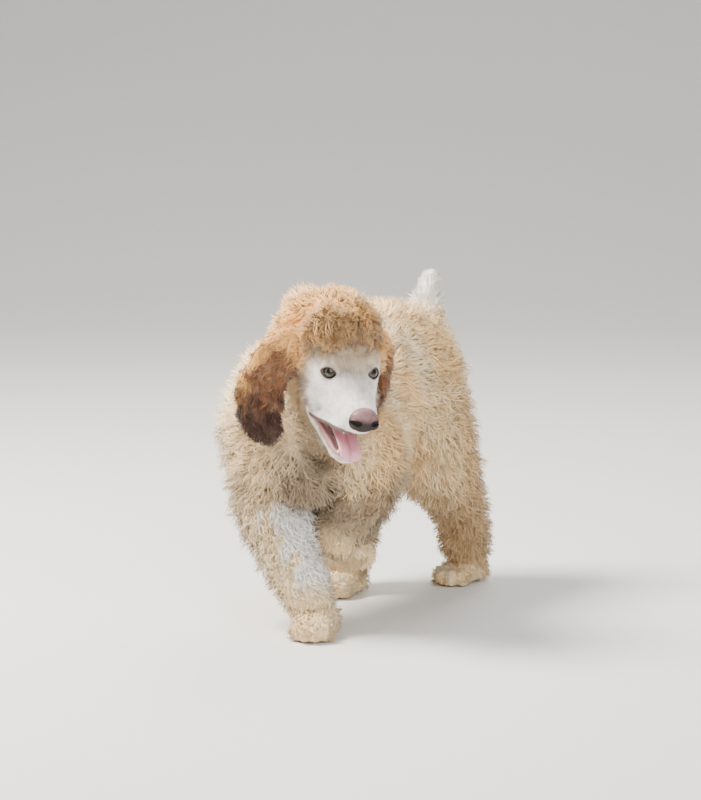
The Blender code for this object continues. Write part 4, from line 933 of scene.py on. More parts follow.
@dataclass
class CoatMap:
    """Reads the coat's depth, lie and colour at any place on the skin."""

    courses: list[Course]
    head: Head
    ears: list[Ear]
    markings: Markings = field(default_factory=Markings)
    softness: float = 0.10
    lift: float = 0.42

    def __post_init__(self) -> None:
        """Adds the axes of the head and the ears."""
        rows = curve_through(np.array(self.head.skull), 40)
        places = np.stack([rows[:, 0], 0 * rows[:, 0], rows[:, 1] - 0.004], axis=1)
        self.skull = Course(Zone.FACE, self.head.frame.at(places), rows[:, 2:].mean(axis=1), np.zeros(40))
        rows = curve_through(np.array(self.head.jaw), 20)
        places = np.stack([rows[:, 0], 0 * rows[:, 0], rows[:, 1]], axis=1)
        axis = self.head.frame.jaw_at(places)
        self.jaw = Course(Zone.FACE, axis, rows[:, 2], np.zeros(20))

    def room(self, points: Array, normals: Array, depth: Array) -> Array:
        """The share of its depth that the body's wool keeps beside the jaw and under the ears.

        Args:
            points: Places on the skin.
            normals: The skin's outward directions.
            depth: The coat's depth if nothing lay over it.

        Returns:
            One share for each place.
        """
        share = np.ones(len(points))
        near = np.flatnonzero(np.linalg.norm(points - self.head.frame.at((-0.02, 0, -0.04)), axis=1) < 0.14)
        jaw = self.head.frame.at(np.linspace((-0.030, 0, -0.048), (0.036, 0, -0.077), 8))
        leaves = np.concatenate([ear.rows()[0][6::3] for ear in self.ears])
        gaps = [np.full(len(near), 1.0), np.full(len(near), 1.0)]
        for reach in (0.4, 0.7, 1.0):
            tips = points[near] + normals[near] * (depth[near] * reach)[:, None]
            for k, line in enumerate((jaw, leaves)):
                gaps[k] = np.minimum(gaps[k], np.linalg.norm(tips[:, None] - line[None], axis=2).min(axis=1))
        share[near] = 0.22 + 0.78 * step(0.033, 0.050, gaps[0])
        share[near] *= 0.35 + 0.65 * step(0.012, 0.030, gaps[1])
        return share

    def raised(self, length: Array) -> Array:
        """How far the dense wool next to the skin reaches, for each depth of the coat."""
        return self.lift * length * step(0.006, 0.013, length)

    def head_values(self, points: Array) -> tuple[Array, Array, Array, Array]:
        """Length, stand, lie and share of the crown over the head."""
        forward_way, left_way, up_way = self.head.frame.axes
        places = self.head.frame.read(points)
        forward, left, up = places.T
        hairline = 0.0225 + 0.0055 * step(0.024, 0.006, np.abs(left + 0.006))
        hairline = np.maximum(hairline - 0.95 * np.maximum(0.0, -forward - 0.010), -0.030)
        hairline = hairline + 0.0035 * waves(places, 41, 0.013) + 0.0030 * waves(places, 42, 0.006)
        crown = step(-0.012, 0.006, up - hairline)
        face = 0.0036 + 0.0024 * step(-0.010, -0.035, forward) + 0.0006 * step(-0.02, -0.05, up)
        face = face + 0.012 * step(-0.036, -0.056, forward)
        eyes = np.min([np.linalg.norm(points - eye.frame[0], axis=1) for eye in self.head.eyes()], axis=0)
        face = face * (0.45 + 0.55 * step(0.010, 0.018, eyes))
        lips = step(0.010, 0.022, np.abs(up + 0.047)) + step(-0.02, -0.05, forward) + step(0.02, 0.03, up)
        face = face * (0.60 + 0.40 * np.clip(lips, 0, 1))
        face = np.where(forward > 0.03, np.minimum(face, 0.0026), face)
        over = np.maximum(step(-0.004, 0.034, up - hairline), step(-0.030, -0.050, forward))
        top = (0.0235 - 0.0080 * step(0.010, 0.034, left) + 0.0100 * step(-0.006, -0.028, left)) * (0.30 + 0.70 * over)
        length = face * (1 - crown) + top * crown
        stand = 0.34 + 0.12 * step(-0.03, -0.06, forward) + 0.34 * crown * (0.4 + 0.6 * over)
        lie = (
            np.outer(-(0.9 - 0.9 * crown + 0.0 * up), forward_way)
            + np.outer(np.sign(left) * 0.25 * (1 - crown), left_way)
            + np.outer(np.where(up > 0.004, 0.35, -0.25) * (1 - crown) - 0.7 * crown, up_way)
            + np.outer(0.55 * crown * step(-0.05, -0.01, forward), forward_way)
        )
        return length, stand, lie, crown

    def read(self, points: Array, normals: Array) -> Fleece:
        """The coat at places on the skin.

        Args:
            points: The places.
            normals: The skin's outward directions there.

        Returns:
            The coat's values, one for each place.
        """
        runs = [*self.courses, *(ear.course() for ear in self.ears), self.skull, self.jaw]
        found = [run.read(points) for run in runs]
        ratio = np.array([r for r, _ in found])
        # The chest's wool stops short of the jaw and the cheeks
        jowl = step(-0.052, -0.032, self.head.frame.read(points)[:, 0]) * step(1.75, 1.50, ratio[-2:].min(axis=0))
        ratio[:len(self.courses)] *= 1 + jowl
        ratio[len(self.courses):-2] *= 0.6
        weight = np.exp(-(ratio - ratio.min(axis=0)) / self.softness)
        weight /= weight.sum(axis=0)
        count = len(points)
        length, stand = np.zeros(count), np.zeros(count)
        lie, tint = np.zeros((count, 3)), np.zeros((count, 3))
        head_length, head_stand, head_lie, crown = self.head_values(points)
        for run, (_, nearest), share in zip(runs, found, weight):
            along = nearest / (len(run.axis) - 1)
            if run is self.skull or run is self.jaw:
                depth, rise, way = head_length, head_stand, head_lie
                colour = self.markings.head(self.head.frame.read(points), crown)
            else:
                depth, way = run.depth[nearest], run.heading[nearest]
                if run.zone in (Zone.TRUNK, Zone.NECK):
                    depth = depth * self.room(points, normals, depth)
                rise = np.full(count, 0.74)
                colour, rise, way = self.part_values(run, points, normals, nearest, along, rise, way)
            length += share * depth
            stand += share * rise
            lie += share[:, None] * way
            tint += share[:, None] * colour
        corners = self.head.frame.at([(-0.014, side * 0.028, -0.050) for side in (-1, 1)])
        gaps = np.linalg.norm(points[:, None] - corners[None], axis=2).min(axis=1)
        length = np.minimum(length, 0.0034 + 0.8 * np.maximum(0.0, gaps - 0.015))
        best = ratio.argmin(axis=0)
        zone = np.array([ZONES.index(run.zone) for run in runs])[best]
        zone = np.where((zone == ZONES.index(Zone.FACE)) & (crown > 0.5), ZONES.index(Zone.CROWN), zone)
        lie = unit(lie - normals * (lie * normals).sum(axis=1, keepdims=True))
        return Fleece(zone, length, stand, lie, tint, self.charts(points, runs, found, best))

    def part_values(self, run: Course, points: Array, normals: Array, nearest: Array, along: Array,
                    rise: Array, way: Array) -> tuple[Array, Array, Array]:
        """Colour, stand and lie of one part of the body."""
        if run.zone in (Zone.EAR_RIGHT, Zone.EAR_LEFT):
            side = unit(np.cross(run.heading, run.face))[nearest]
            across = ((points - run.axis[nearest]) * side).sum(axis=1) / run.radius[nearest]
            across = across * (1.0 if run.zone is Zone.EAR_RIGHT else -1.0)
            return self.markings.ear(points, along, across), np.full(len(points), 0.40), way
        if run.zone is Zone.TAIL:
            return self.markings.tail(points, along), np.full(len(points), 0.66), way
        if run.zone in (Zone.TRUNK, Zone.NECK):
            return self.markings.body(points), rise, way * 0.8 + np.array((0, 0, -0.55))
        if len(run.axis) < 12:
            return self.markings.foot(points), np.full(len(points), 0.52), way
        return self.markings.leg(run.zone, points, normals, along), rise - 0.08, way

    def charts(self, points: Array, runs: list[Course], found: list, best: Array) -> Array:
        """Where each place lies on an unwrap of its part's own shape, from 0 to 1 both ways."""
        chart = np.zeros((len(points), 2))
        for index, (run, (_, nearest)) in enumerate(zip(runs, found)):
            mine = best == index
            at = nearest[mine]
            away = points[mine] - run.axis[at]
            heading = run.heading[at]
            side = unit(np.cross(heading, (0.05, 1.0, 0.1)))
            over = np.cross(heading, side)
            angle = np.arctan2((away * over).sum(axis=1), (away * side).sum(axis=1))
            run_on = at / (len(run.axis) - 1) + 0.5 * (away * heading).sum(axis=1) / run.radius[at]
            low, high = (0.02, 0.76) if len(run.axis) > 12 and run is not self.jaw else (0.78, 0.98)
            chart[mine, 0] = 0.01 + 0.98 * (angle / (2 * math.pi) + 0.5)
            chart[mine, 1] = low + (high - low) * np.clip(run_on, 0.0, 1.0)
        return chart


@dataclass
class Skin:
    """One closed skin over the trunk, legs and head, fine on the head and coarser below."""

    trunk: Trunk
    legs: list[Limb]
    head: Head
    ears: list[Ear]
    body_voxel: float = 0.0024
    head_voxel: float = 0.0009
    sole: float = 0.0006

    def build(self) -> bpy.types.Object:
        """The skin as one object.

        Returns:
            The object, not yet in the scene.
        """
        body = joined("body", self.trunk.shells() + [shell for leg in self.legs for shell in leg.shells()])
        body = remeshed(body, self.body_voxel, 6)
        shells = self.head.shells() + [shell for ear in self.ears for shell in ear.shells()]
        head = remeshed(joined("skin", shells), self.head_voxel, 2)
        head = combined(head, self.head.hollows(), "DIFFERENCE")
        head = remeshed(head, self.head_voxel, 5)
        skin = combined(head, [body], "UNION")
        skin.name = "skin"
        for vertex in skin.data.vertices:
            vertex.co.z = max(vertex.co.z, self.sole)
        work = bmesh.new()
        work.from_mesh(skin.data)
        bmesh.ops.triangulate(work, faces=work.faces)
        work.to_mesh(skin.data)
        work.free()
        skin.data.shade_smooth()
        return skin

    def fleeced(self, skin: bpy.types.Object, coat_map: CoatMap) -> None:
        """Swells the skin into the dense wool next to it, soft and uneven, where the coat is long."""
        points, normals = vertices_of(skin)
        fleece = coat_map.read(points, normals)
        raised = coat_map.raised(fleece.length)
        uneven = 1.0 + 0.16 * waves(points, 31, 0.024) + 0.10 * waves(points, 32, 0.012)
        points = points + normals * (raised * uneven)[:, None]
        points[:, 2] = np.maximum(points[:, 2], self.sole)
        skin.data.vertices.foreach_set("co", points.astype(np.float32).ravel())
        skin.data.update()


@dataclass(frozen=True)
class TuftPlan:
    """How one zone's tufts are made: roots for each square metre, half width and shape."""

    density: float
    width: float
    rings: int = 4
    curl: float = 0.0024
    turns: float = 1.15
    clump: float = 0.34
    locks: float = 0.0095
    sink: float = 0.0015
    frizz: float = 0.0014
    wild: float = 0.85


LEG_PLAN = TuftPlan(118_000, 0.00052, locks=0.0080, curl=0.0022)
EAR_PLAN = TuftPlan(300_000, 0.00044, curl=0.0028, turns=1.35, clump=0.62, locks=0.0080, sink=0.0008, wild=0.50)
PLANS = {
    Zone.TRUNK: TuftPlan(125_000, 0.00055),
    Zone.NECK: TuftPlan(150_000, 0.00052),
    Zone.TAIL: TuftPlan(340_000, 0.00042, curl=0.0014, locks=0.006, wild=0.5),
    Zone.FORE_RIGHT: LEG_PLAN,
    Zone.FORE_LEFT: LEG_PLAN,
    Zone.HIND_RIGHT: LEG_PLAN,
    Zone.HIND_LEFT: LEG_PLAN,
    Zone.CROWN: TuftPlan(330_000, 0.00045, curl=0.0024, turns=1.3, clump=0.50, locks=0.0075, frizz=0.0012),
    Zone.FACE: TuftPlan(2_000_000, 0.00022, rings=1, curl=0.0002, turns=0.4, clump=0.2, locks=0.004,
                        sink=0.0004, frizz=0.0002, wild=0.34),
    Zone.EAR_RIGHT: EAR_PLAN,
    Zone.EAR_LEFT: EAR_PLAN,
}


@dataclass
class Coat:
    """Tapered, wavy tufts over the skin, gathered into curls that meet at their tips."""

    skin: bpy.types.Object
    coat_map: CoatMap
    head: Head
    seed: int = 7
    most: int = 190_000
    floor: float = 0.0008

    def bare(self, points: Array) -> Array:
        """Where no tuft grows: the eyes, the nose, the lips and the inside of the mouth."""
        places = self.head.frame.read(points)
        bare = (places[:, 0] > 0.0530) & (np.abs(places[:, 1]) < 0.014) & (places[:, 2] > -0.034)
        for eye in self.head.eyes():
            centre, gaze, _, _ = eye.frame
            offset = points - centre
            away = np.linalg.norm(offset, axis=1)
            bare |= (away < eye.radius + 0.0030) & (offset @ gaze > 0.35 * away)
        for side in (-1, 1):
            for upper in (True, False):
                line = self.head.lip_edge(side, upper, 24)
                gaps = np.linalg.norm(points[:, None] - line[None], axis=2).min(axis=1)
                bare |= gaps < (0.0058 if upper else 0.0033)
        low = self.head.frame.read(self.head.frame.jaw_at(((0.03, 0, -0.049), (-0.012, 0, -0.049))))
        share = np.clip((places[:, 0] - low[1, 0]) / (low[0, 0] - low[1, 0]), 0, 1)
        jaw_top = low[1, 2] + share * (low[0, 2] - low[1, 2])
        inside = (places[:, 2] < -0.038) & (places[:, 2] > jaw_top - 0.0015) & (places[:, 0] > -0.016)
        bare |= inside & (np.abs(places[:, 1]) < 0.020)
        return bare

    def scattered(self) -> tuple[Array, Array, Array]:
        """Roots over the skin, as points, outward directions and zones."""
        mesh = self.skin.data
        points, normals = vertices_of(self.skin)
        fleece = self.coat_map.read(points, normals)
        corners = np.empty(len(mesh.polygons) * 3, int)
        mesh.loops.foreach_get("vertex_index", corners)
        corners = corners.reshape(-1, 3)
        places = points[corners]
        area = np.linalg.norm(np.cross(places[:, 1] - places[:, 0], places[:, 2] - places[:, 0]), axis=1) / 2
        zone = fleece.zone[corners[:, 0]]
        density = np.array([PLANS[name].density for name in ZONES])[zone]
        density = density * (1 + 1.6 * step(0.016, 0.006, fleece.length[corners[:, 0]]) * (zone < 7))
        wanted = area * density
        rng = np.random.default_rng(self.seed)
        chosen = np.searchsorted(np.cumsum(wanted), (np.arange(int(wanted.sum())) + rng.random(int(wanted.sum())))
                                 * (wanted.sum() / int(wanted.sum())))
        chosen = np.clip(chosen, 0, len(wanted) - 1)
        share = np.sort(rng.random((len(chosen), 2)), axis=1)
        share = np.stack([share[:, 0], share[:, 1] - share[:, 0], 1 - share[:, 1]], axis=1)[:, :, None]
        roots = (places[chosen] * share).sum(axis=1)
        outward = unit((normals[corners[chosen]] * share).sum(axis=1))
        keep = ~self.bare(roots) & ~((outward[:, 2] < -0.5) & (roots[:, 2] < 0.006))
        return roots[keep], outward[keep], zone[chosen][keep]

    def curves(self, roots: Array, normals: Array, fleece: Fleece, plan: TuftPlan, rng: np.random.Generator,
               phase: Array, wild: float) -> Array:
        """Middles of tufts at each of their rings and at the tip.

        Args:
            roots: Places of the roots.
            normals: The skin's outward directions.
            fleece: The coat's values at the roots.
            plan: The zone's plan.
            rng: The draw.
            phase: Where each tuft's curl starts.
            wild: How far the tufts stray from the coat's lie.

        Returns:
            Points of shape tufts, rings and 3.
        """
        t = np.linspace(0, 1, plan.rings + 1) ** 0.92
        count = len(roots)
        rise = np.clip(fleece.stand + rng.normal(0, 0.12, count), 0.10, 1.0)[:, None, None]
        lie = unit(fleece.lie + rng.normal(0, wild, (count, 3)))
        lie = unit(lie - normals * (lie * normals).sum(axis=1, keepdims=True))
        side = np.cross(normals, lie)
        angle = rise * math.pi / 2
        ahead = t[None, :, None]
        out = np.sin(angle) * (ahead - 0.14 * ahead**2)
        along = np.cos(angle) * ahead + 0.20 * ahead**2
        scale = (fleece.length * (1 + 0.25 * (1 - rise[:, 0, 0])))[:, None, None]
        path = roots[:, None] - normals[:, None] * plan.sink
        path = path + scale * (out * normals[:, None] + along * lie[:, None])
        size = np.minimum(plan.curl, 0.16 * fleece.length)[:, None, None] * ahead**0.7
        turn = phase[:, None, None] + 2 * math.pi * plan.turns * ahead
        across = np.cross(unit(path[:, -1] - path[:, 0]), side)
        return path + size * (np.cos(turn) * side[:, None] + np.sin(turn) * across[:, None])

    def gathered(self, roots: Array, normals: Array, fleece: Fleece, plan: TuftPlan,
                 rng: np.random.Generator) -> tuple[Array, Array]:
        """Tuft curves drawn towards the curls that they belong to, and each tuft's shade."""
        area = len(roots) / plan.density
        count = max(4, int(area / plan.locks**2))
        leaders = rng.choice(len(roots), min(count, len(roots)), replace=False)
        phase = rng.uniform(0, 2 * math.pi, len(leaders))
        led = self.curves(roots[leaders], normals[leaders], fleece.some(leaders), plan, rng, phase, plan.wild)
        mine = np.empty(len(roots), int)
        for start in range(0, len(roots), 4000):
            some = roots[start:start + 4000, None] - roots[leaders][None]
            mine[start:start + 4000] = (some**2).sum(axis=2).argmin(axis=1)
        own = phase[mine] + rng.normal(0, 0.7, len(roots))
        path = self.curves(roots, normals, fleece, plan, rng, own, 0.5 * plan.wild)
        t = np.linspace(0, 1, path.shape[1])[None, :, None]
        path = path + rng.normal(0, plan.frizz, path.shape) * t
        pull = plan.clump * rng.uniform(0.5, 1.15, len(roots))[:, None, None] * t**1.3
        shade = rng.normal(0, 1, len(leaders))[mine] * 0.7 + rng.normal(0, 0.6, len(roots))
        return path * (1 - pull) + led[mine] * pull, shade

    def piece(self, name: str, zone: Zone, paths: Array, roots: Array, normals: Array, fleece: Fleece,
              shade: Array, finish: bpy.types.Material) -> bpy.types.Object:
        """One mesh of tufts with three sides each, its values and its map.

        Args:
            name: The piece's name.
            zone: The part of the coat.
            paths: The tufts' middles.
            roots: Their roots.
            normals: The skin's outward directions at the roots.
            fleece: The coat's values at the roots.
            shade: Lighter or darker, one for each tuft.
            finish: The coat's material.

        Returns:
            The new object.
        """
        plan = PLANS[zone]
        count, steps = len(paths), paths.shape[1]
        ahead = unit(np.gradient(paths, axis=1))
        side = unit(np.cross(ahead, normals[:, None]))
        over = np.cross(ahead, side)
        t = np.linspace(0, 1, steps)[None, :-1, None]
        rng = np.random.default_rng(len(roots))
        thick = plan.width * rng.uniform(0.7, 1.3, count)[:, None, None] * (1 - 0.75 * t**1.5)
        rings = []
        for k in range(3):
            turn = 2 * math.pi * k / 3 + math.pi / 2
            wide, deep = 1.45 * math.cos(turn), 0.65 * math.sin(turn)
            rings.append(paths[:, :-1] + thick * (wide * side[:, :-1] + deep * over[:, :-1]))
        ring = np.stack(rings, axis=2).reshape(count, -1, 3)
        points = np.concatenate([ring, paths[:, -1:]], axis=1)
        points[:, :, 2] = np.maximum(points[:, :, 2], self.floor)
        tip = points.shape[1] - 1
        pattern = [(2, 1, 0)]
        for row in range(steps - 2):
            for k in range(3):
                a, b = row * 3 + k, row * 3 + (k + 1) % 3
                pattern += [(a, b, b + 3), (a, b + 3, a + 3)]
        pattern += [(tip - 3 + k, tip - 3 + (k + 1) % 3, tip) for k in range(3)]
        faces = (np.arange(count)[:, None, None] * (tip + 1) + np.array(pattern)).reshape(-1, 3)
        mesh = mesh_of(name, points.reshape(-1, 3), faces)
        each = tip + 1
        along = np.concatenate([np.repeat(np.linspace(0, 1, steps)[:-1], 3), [1.0]])
        put_values(mesh, "along", np.tile(along, count))
        put_values(mesh, "root", np.repeat(roots, each, axis=0))
        put_values(mesh, "tint", np.repeat(fleece.tint, each, axis=0))
        put_values(mesh, "shade", np.repeat(shade, each))
        local = np.stack([np.append(np.tile((-1, 0, 1), steps - 1), 0) * 0.0014,
                          (along - 0.5) * 0.0028], axis=1)
        chart = (fleece.chart[:, None] + local[None]).reshape(-1, 2)
        layer = mesh.uv_layers.new(name="OFBake")
        layer.data.foreach_set("uv", chart[faces.reshape(-1)].astype(np.float32).ravel())
        soft = unit(0.82 * normals[:, None] + 0.18 * unit(points - np.concatenate(
            [np.repeat(paths[:, :-1], 3, axis=1), paths[:, -2:-1]], axis=1)))
        mesh.normals_split_custom_set_from_vertices(soft.reshape(-1, 3).astype(np.float32))
        mesh.materials.append(finish)
        return bpy.data.objects.new(name, mesh)

    def build(self, finish: bpy.types.Material) -> list[bpy.types.Object]:
        """Every piece of the coat.

        Args:
            finish: The coat's material.

        Returns:
            The pieces, each below the most triangles that a piece may have.
        """
        roots, outward, zones = self.scattered()
        fleece = self.coat_map.read(roots, outward)
        uneven = 1.0 + 0.20 * np.clip(waves(roots, 33, 0.020), -1.2, 1.2)
        fleece.length = (fleece.length - self.coat_map.raised(fleece.length)) * uneven
        pieces = []
        for index, zone in enumerate(ZONES):
            mine = np.flatnonzero(zones == index)
            if len(mine) < 8:
                continue
            plan = PLANS[zone]
            rng = np.random.default_rng(self.seed + index)
            values = fleece.some(mine)
            paths, shade = self.gathered(roots[mine], outward[mine], values, plan, rng)
            each = 1 + 6 * (paths.shape[1] - 2) + 3
            parts = math.ceil(len(mine) * each / self.most)
            order = np.argsort(values.chart[:, 0], kind="stable")
            for k, some in enumerate(np.array_split(order, parts)):
                name = f"coat_{zone.value}" + (f"_{k + 1}" if parts > 1 else "")
                made = self.piece(name, zone, paths[some], roots[mine][some], outward[mine][some],
                                  values.some(some), shade[some], finish)
                LOG.info("%s: %d tufts, %d triangles", name, len(some), len(made.data.polygons))
                pieces.append(made)
        return pieces


def mesh_of(name: str, points: Array, faces: Array) -> bpy.types.Mesh:
    """A mesh of triangles, shaded smooth."""
    mesh = bpy.data.meshes.new(name)
    mesh.vertices.add(len(points))
    mesh.vertices.foreach_set("co", points.astype(np.float32).ravel())
    mesh.loops.add(faces.size)
    mesh.loops.foreach_set("vertex_index", faces.astype(np.int32).ravel())
    mesh.polygons.add(len(faces))
    mesh.polygons.foreach_set("loop_start", np.arange(0, faces.size, 3, dtype=np.int32))
    mesh.update(calc_edges=True)
    mesh.shade_smooth()
    return mesh


class Wire:
    """A socket that Python's own operators work on, each adding its node."""

    def __init__(self, paint: Paint, socket: bpy.types.NodeSocket) -> None:
        """Keeps the socket and the material that it belongs to.

        Args:
            paint: The material's builder.
            socket: An output socket.
        """
        self.paint = paint
        self.socket = socket

    def maths(self, operation: str, first: object, second: object) -> Wire:
        """One Math node on two values."""
        return self.paint.node("ShaderNodeMath", {"operation": operation}, {0: first, 1: second})

    def __add__(self, other: object) -> Wire:
        """The sum."""
        return self.maths("ADD", self, other)

    __radd__ = __add__

    def __mul__(self, other: object) -> Wire:
        """The product."""
        return self.maths("MULTIPLY", self, other)

    __rmul__ = __mul__

    def __sub__(self, other: object) -> Wire:
        """The difference."""
        return self.maths("SUBTRACT", self, other)

    def __rsub__(self, other: object) -> Wire:
        """The difference, taken from the other."""
        return self.maths("SUBTRACT", other, self)

    def __pow__(self, other: object) -> Wire:
        """The power."""
        return self.maths("POWER", self, other)


class Paint:
    """Builds one material of nodes."""

    def __init__(self, name: str) -> None:
        """Starts a material with its Principled shader.

        Args:
            name: The material's name.
        """
        self.material = bpy.data.materials.new(name)
        self.material.use_nodes = True
        self.tree = self.material.node_tree
        self.shader = self.tree.nodes["Principled BSDF"]

    def node(self, kind: str, settings: dict | None = None, inputs: dict | None = None,
             output: str | int = 0) -> Wire:
        """Adds a node.

        Args:
            kind: The node's type.
            settings: Its own settings, or a ramp's stops under "stops".
            inputs: Values or wires for its sockets, by name or number.
            output: The socket that is returned.

        Returns:
            The chosen output.
        """
        made = self.tree.nodes.new(kind)
        for name, value in (settings or {}).items():
            if name == "stops":
                self.stops(made.color_ramp, value)
            else:
                setattr(made, name, value)
        for key, value in (inputs or {}).items():
            self.feed(made.inputs[key], value)
        return Wire(self, made.outputs[output])

    def stops(self, ramp: bpy.types.ColorRamp, stops: Sequence[tuple[float, Rgb]]) -> None:
        """Sets a ramp's places and colours."""
        while len(ramp.elements) < len(stops):
            ramp.elements.new(0.5)
        for element, (place, colour) in zip(ramp.elements, stops):
            element.position = place
            element.color = (*colour, 1.0)

    def feed(self, socket: bpy.types.NodeSocket, value: object) -> None:
        """Links a wire to a socket, or sets the socket's value."""
        if isinstance(value, Wire):
            self.tree.links.new(value.socket, socket)
        elif isinstance(value, tuple) and len(value) == 3 and socket.type == "RGBA":
            socket.default_value = (*value, 1.0)
        else:
            socket.default_value = value

    def values(self, name: str, output: str = "Vector") -> Wire:
        """A value that each point of the mesh carries."""
        return self.node("ShaderNodeAttribute", {"attribute_name": name}, {}, output)

    def noise(self, place: Wire, scale: float, detail: float = 2.0) -> Wire:
        """A soft random field over space."""
        return self.node("ShaderNodeTexNoise", {}, {"Vector": place, "Scale": scale, "Detail": detail}, 0)

    def mix(self, share: object, first: object, second: object, how: str = "MIX") -> Wire:
        """Two colours mixed."""
        settings = {"data_type": "RGBA", "blend_type": how}
        made = self.tree.nodes.new("ShaderNodeMix")
        for name, value in settings.items():
            setattr(made, name, value)
        for index, value in ((0, share), (6, first), (7, second)):
            self.feed(made.inputs[index], value)
        return Wire(self, made.outputs[2])

    def ranged(self, value: Wire, low: float, high: float, to_low: float, to_high: float) -> Wire:
        """A value moved from one range to another, held at its ends."""
        inputs = {0: value, 1: low, 2: high, 3: to_low, 4: to_high}
        return self.node("ShaderNodeMapRange", {"interpolation_type": "SMOOTHSTEP"}, inputs)

    def bump(self, height: Wire, strength: float, distance: float) -> Wire:
        """A normal from a height."""
        inputs = {"Height": height, "Strength": strength, "Distance": distance}
        return self.node("ShaderNodeBump", {}, inputs)

    def finish(self, **sockets: object) -> bpy.types.Material:
        """Feeds the shader's sockets, named with _ for a space, and returns the material."""
        for name, value in sockets.items():
            self.feed(self.shader.inputs[name.replace("_", " ")], value)
        return self.material


@dataclass(frozen=True)
class CoatFinish:
    """Wool: each tuft in its own colour, painted darker and browner towards the root as painted shade deep in the
    wool, and paler at the tip.
    """

    # The darker root is painted shade deep in the wool; the tip is paler.
    root: float = 0.84
    tip: float = 1.08
    roughness: float = 0.85
    sheen: float = 0.22

    def material(self) -> bpy.types.Material:
        """The coat's material."""
        paint = Paint("wool")
        tint = paint.values("tint")
        place = paint.values("root")
        along = paint.values("along", "Fac")
        shade = paint.values("shade", "Fac")
        # Painted shade: each tuft darkens from its tip to its root.
        lift = paint.ranged(along, 0.0, 0.75, self.root, self.tip)
        patches = paint.ranged(paint.noise(place, 85.0, 2.0), 0.30, 0.70, 0.88, 1.10)
        level = lift * patches * (1.0 + 0.080 * shade)
        value = paint.node("ShaderNodeCombineXYZ", {}, {0: level, 1: level, 2: level})
        lit = paint.node("ShaderNodeVectorMath", {"operation": "MULTIPLY"}, {0: tint, 1: value})
        # Painted shade: the lower part of each tuft is also made browner.
        warm = paint.mix(0.9, lit, (0.95, 0.84, 0.70), "MULTIPLY")
        colour = paint.mix(paint.ranged(along, 0.0, 0.55, 0.75, 0.0), lit, warm)
        rough = self.roughness + 0.10 * paint.noise(place, 300.0)
        return paint.finish(Base_Color=colour, Roughness=rough, Sheen_Weight=self.sheen, Sheen_Roughness=0.45,
                            Specular_IOR_Level=0.25)


@dataclass(frozen=True)
class SkinFinish:
    """Skin with short fur: the coat's own markings, darkened as painted shade under the tufts, dark lip edges and eye
    rims, pink within.
    """

    roughness: float = 0.68

    def material(self) -> bpy.types.Material:
        """The skin's material."""
        paint = Paint("skin_and_short_fur")
        tint = paint.values("tint")
        place = paint.values("root")
        fine = paint.noise(place, 900.0, 4.0)
        hairs = paint.node("ShaderNodeTexNoise", {}, {"Vector": place, "Scale": 2600.0, "Detail": 3.0})
        level = paint.ranged(fine, 0.30, 0.70, 0.90, 1.05)
        value = paint.node("ShaderNodeCombineXYZ", {}, {0: level, 1: level, 2: level})
        lit = paint.node("ShaderNodeVectorMath", {"operation": "MULTIPLY"}, {0: tint, 1: value})
        wet = paint.values("wet", "Fac")
        rough = self.roughness - 0.36 * wet + 0.12 * fine
        normal = paint.bump(hairs + fine, 0.35, 0.0006)
        return paint.finish(Base_Color=lit, Roughness=rough, Normal=normal, Sheen_Weight=0.2)


@dataclass(frozen=True)
class EyeFinish:
    """A wet eye: hazel iris with a dark ring, round pupil and dim white."""

    pupil: Rgb = linear(14, 11, 10)
    inner: Rgb = linear(84, 80, 62)
    outer: Rgb = linear(66, 60, 46)
    ring: Rgb = linear(26, 20, 18)
    white: Rgb = linear(112, 98, 88)

    def material(self) -> bpy.types.Material:
        """The eye's material, drawn round the gaze."""
        paint = Paint("wet_eye")
        place = paint.values("gaze")
        x, y = (paint.node("ShaderNodeSeparateXYZ", {}, {0: place}, k) for k in (0, 1))
        away = (x * x + y * y) ** 0.5
        rays = paint.node("ShaderNodeTexNoise", {}, {"Vector": place, "Scale": 26.0, "Detail": 3.0})
        away = away + 0.03 * (rays - 0.5)
        ramp = paint.node("ShaderNodeValToRGB", {"stops": (
            (0.0, self.pupil), (0.35, self.pupil), (0.40, self.inner), (0.53, self.outer),
            (0.62, self.ring), (0.72, self.ring), (0.80, self.white), (1.0, self.white),
        )}, {0: away})
        fibres = paint.ranged(rays, 0.3, 0.7, 0.75, 1.15)
        grey = paint.node("ShaderNodeCombineXYZ", {}, {0: fibres, 1: fibres, 2: fibres})
        colour = paint.node("ShaderNodeVectorMath", {"operation": "MULTIPLY"}, {0: ramp, 1: grey})
        return paint.finish(Base_Color=colour, Roughness=0.10, Specular_IOR_Level=0.35, Coat_Weight=0.30,
                            Coat_Roughness=0.03)


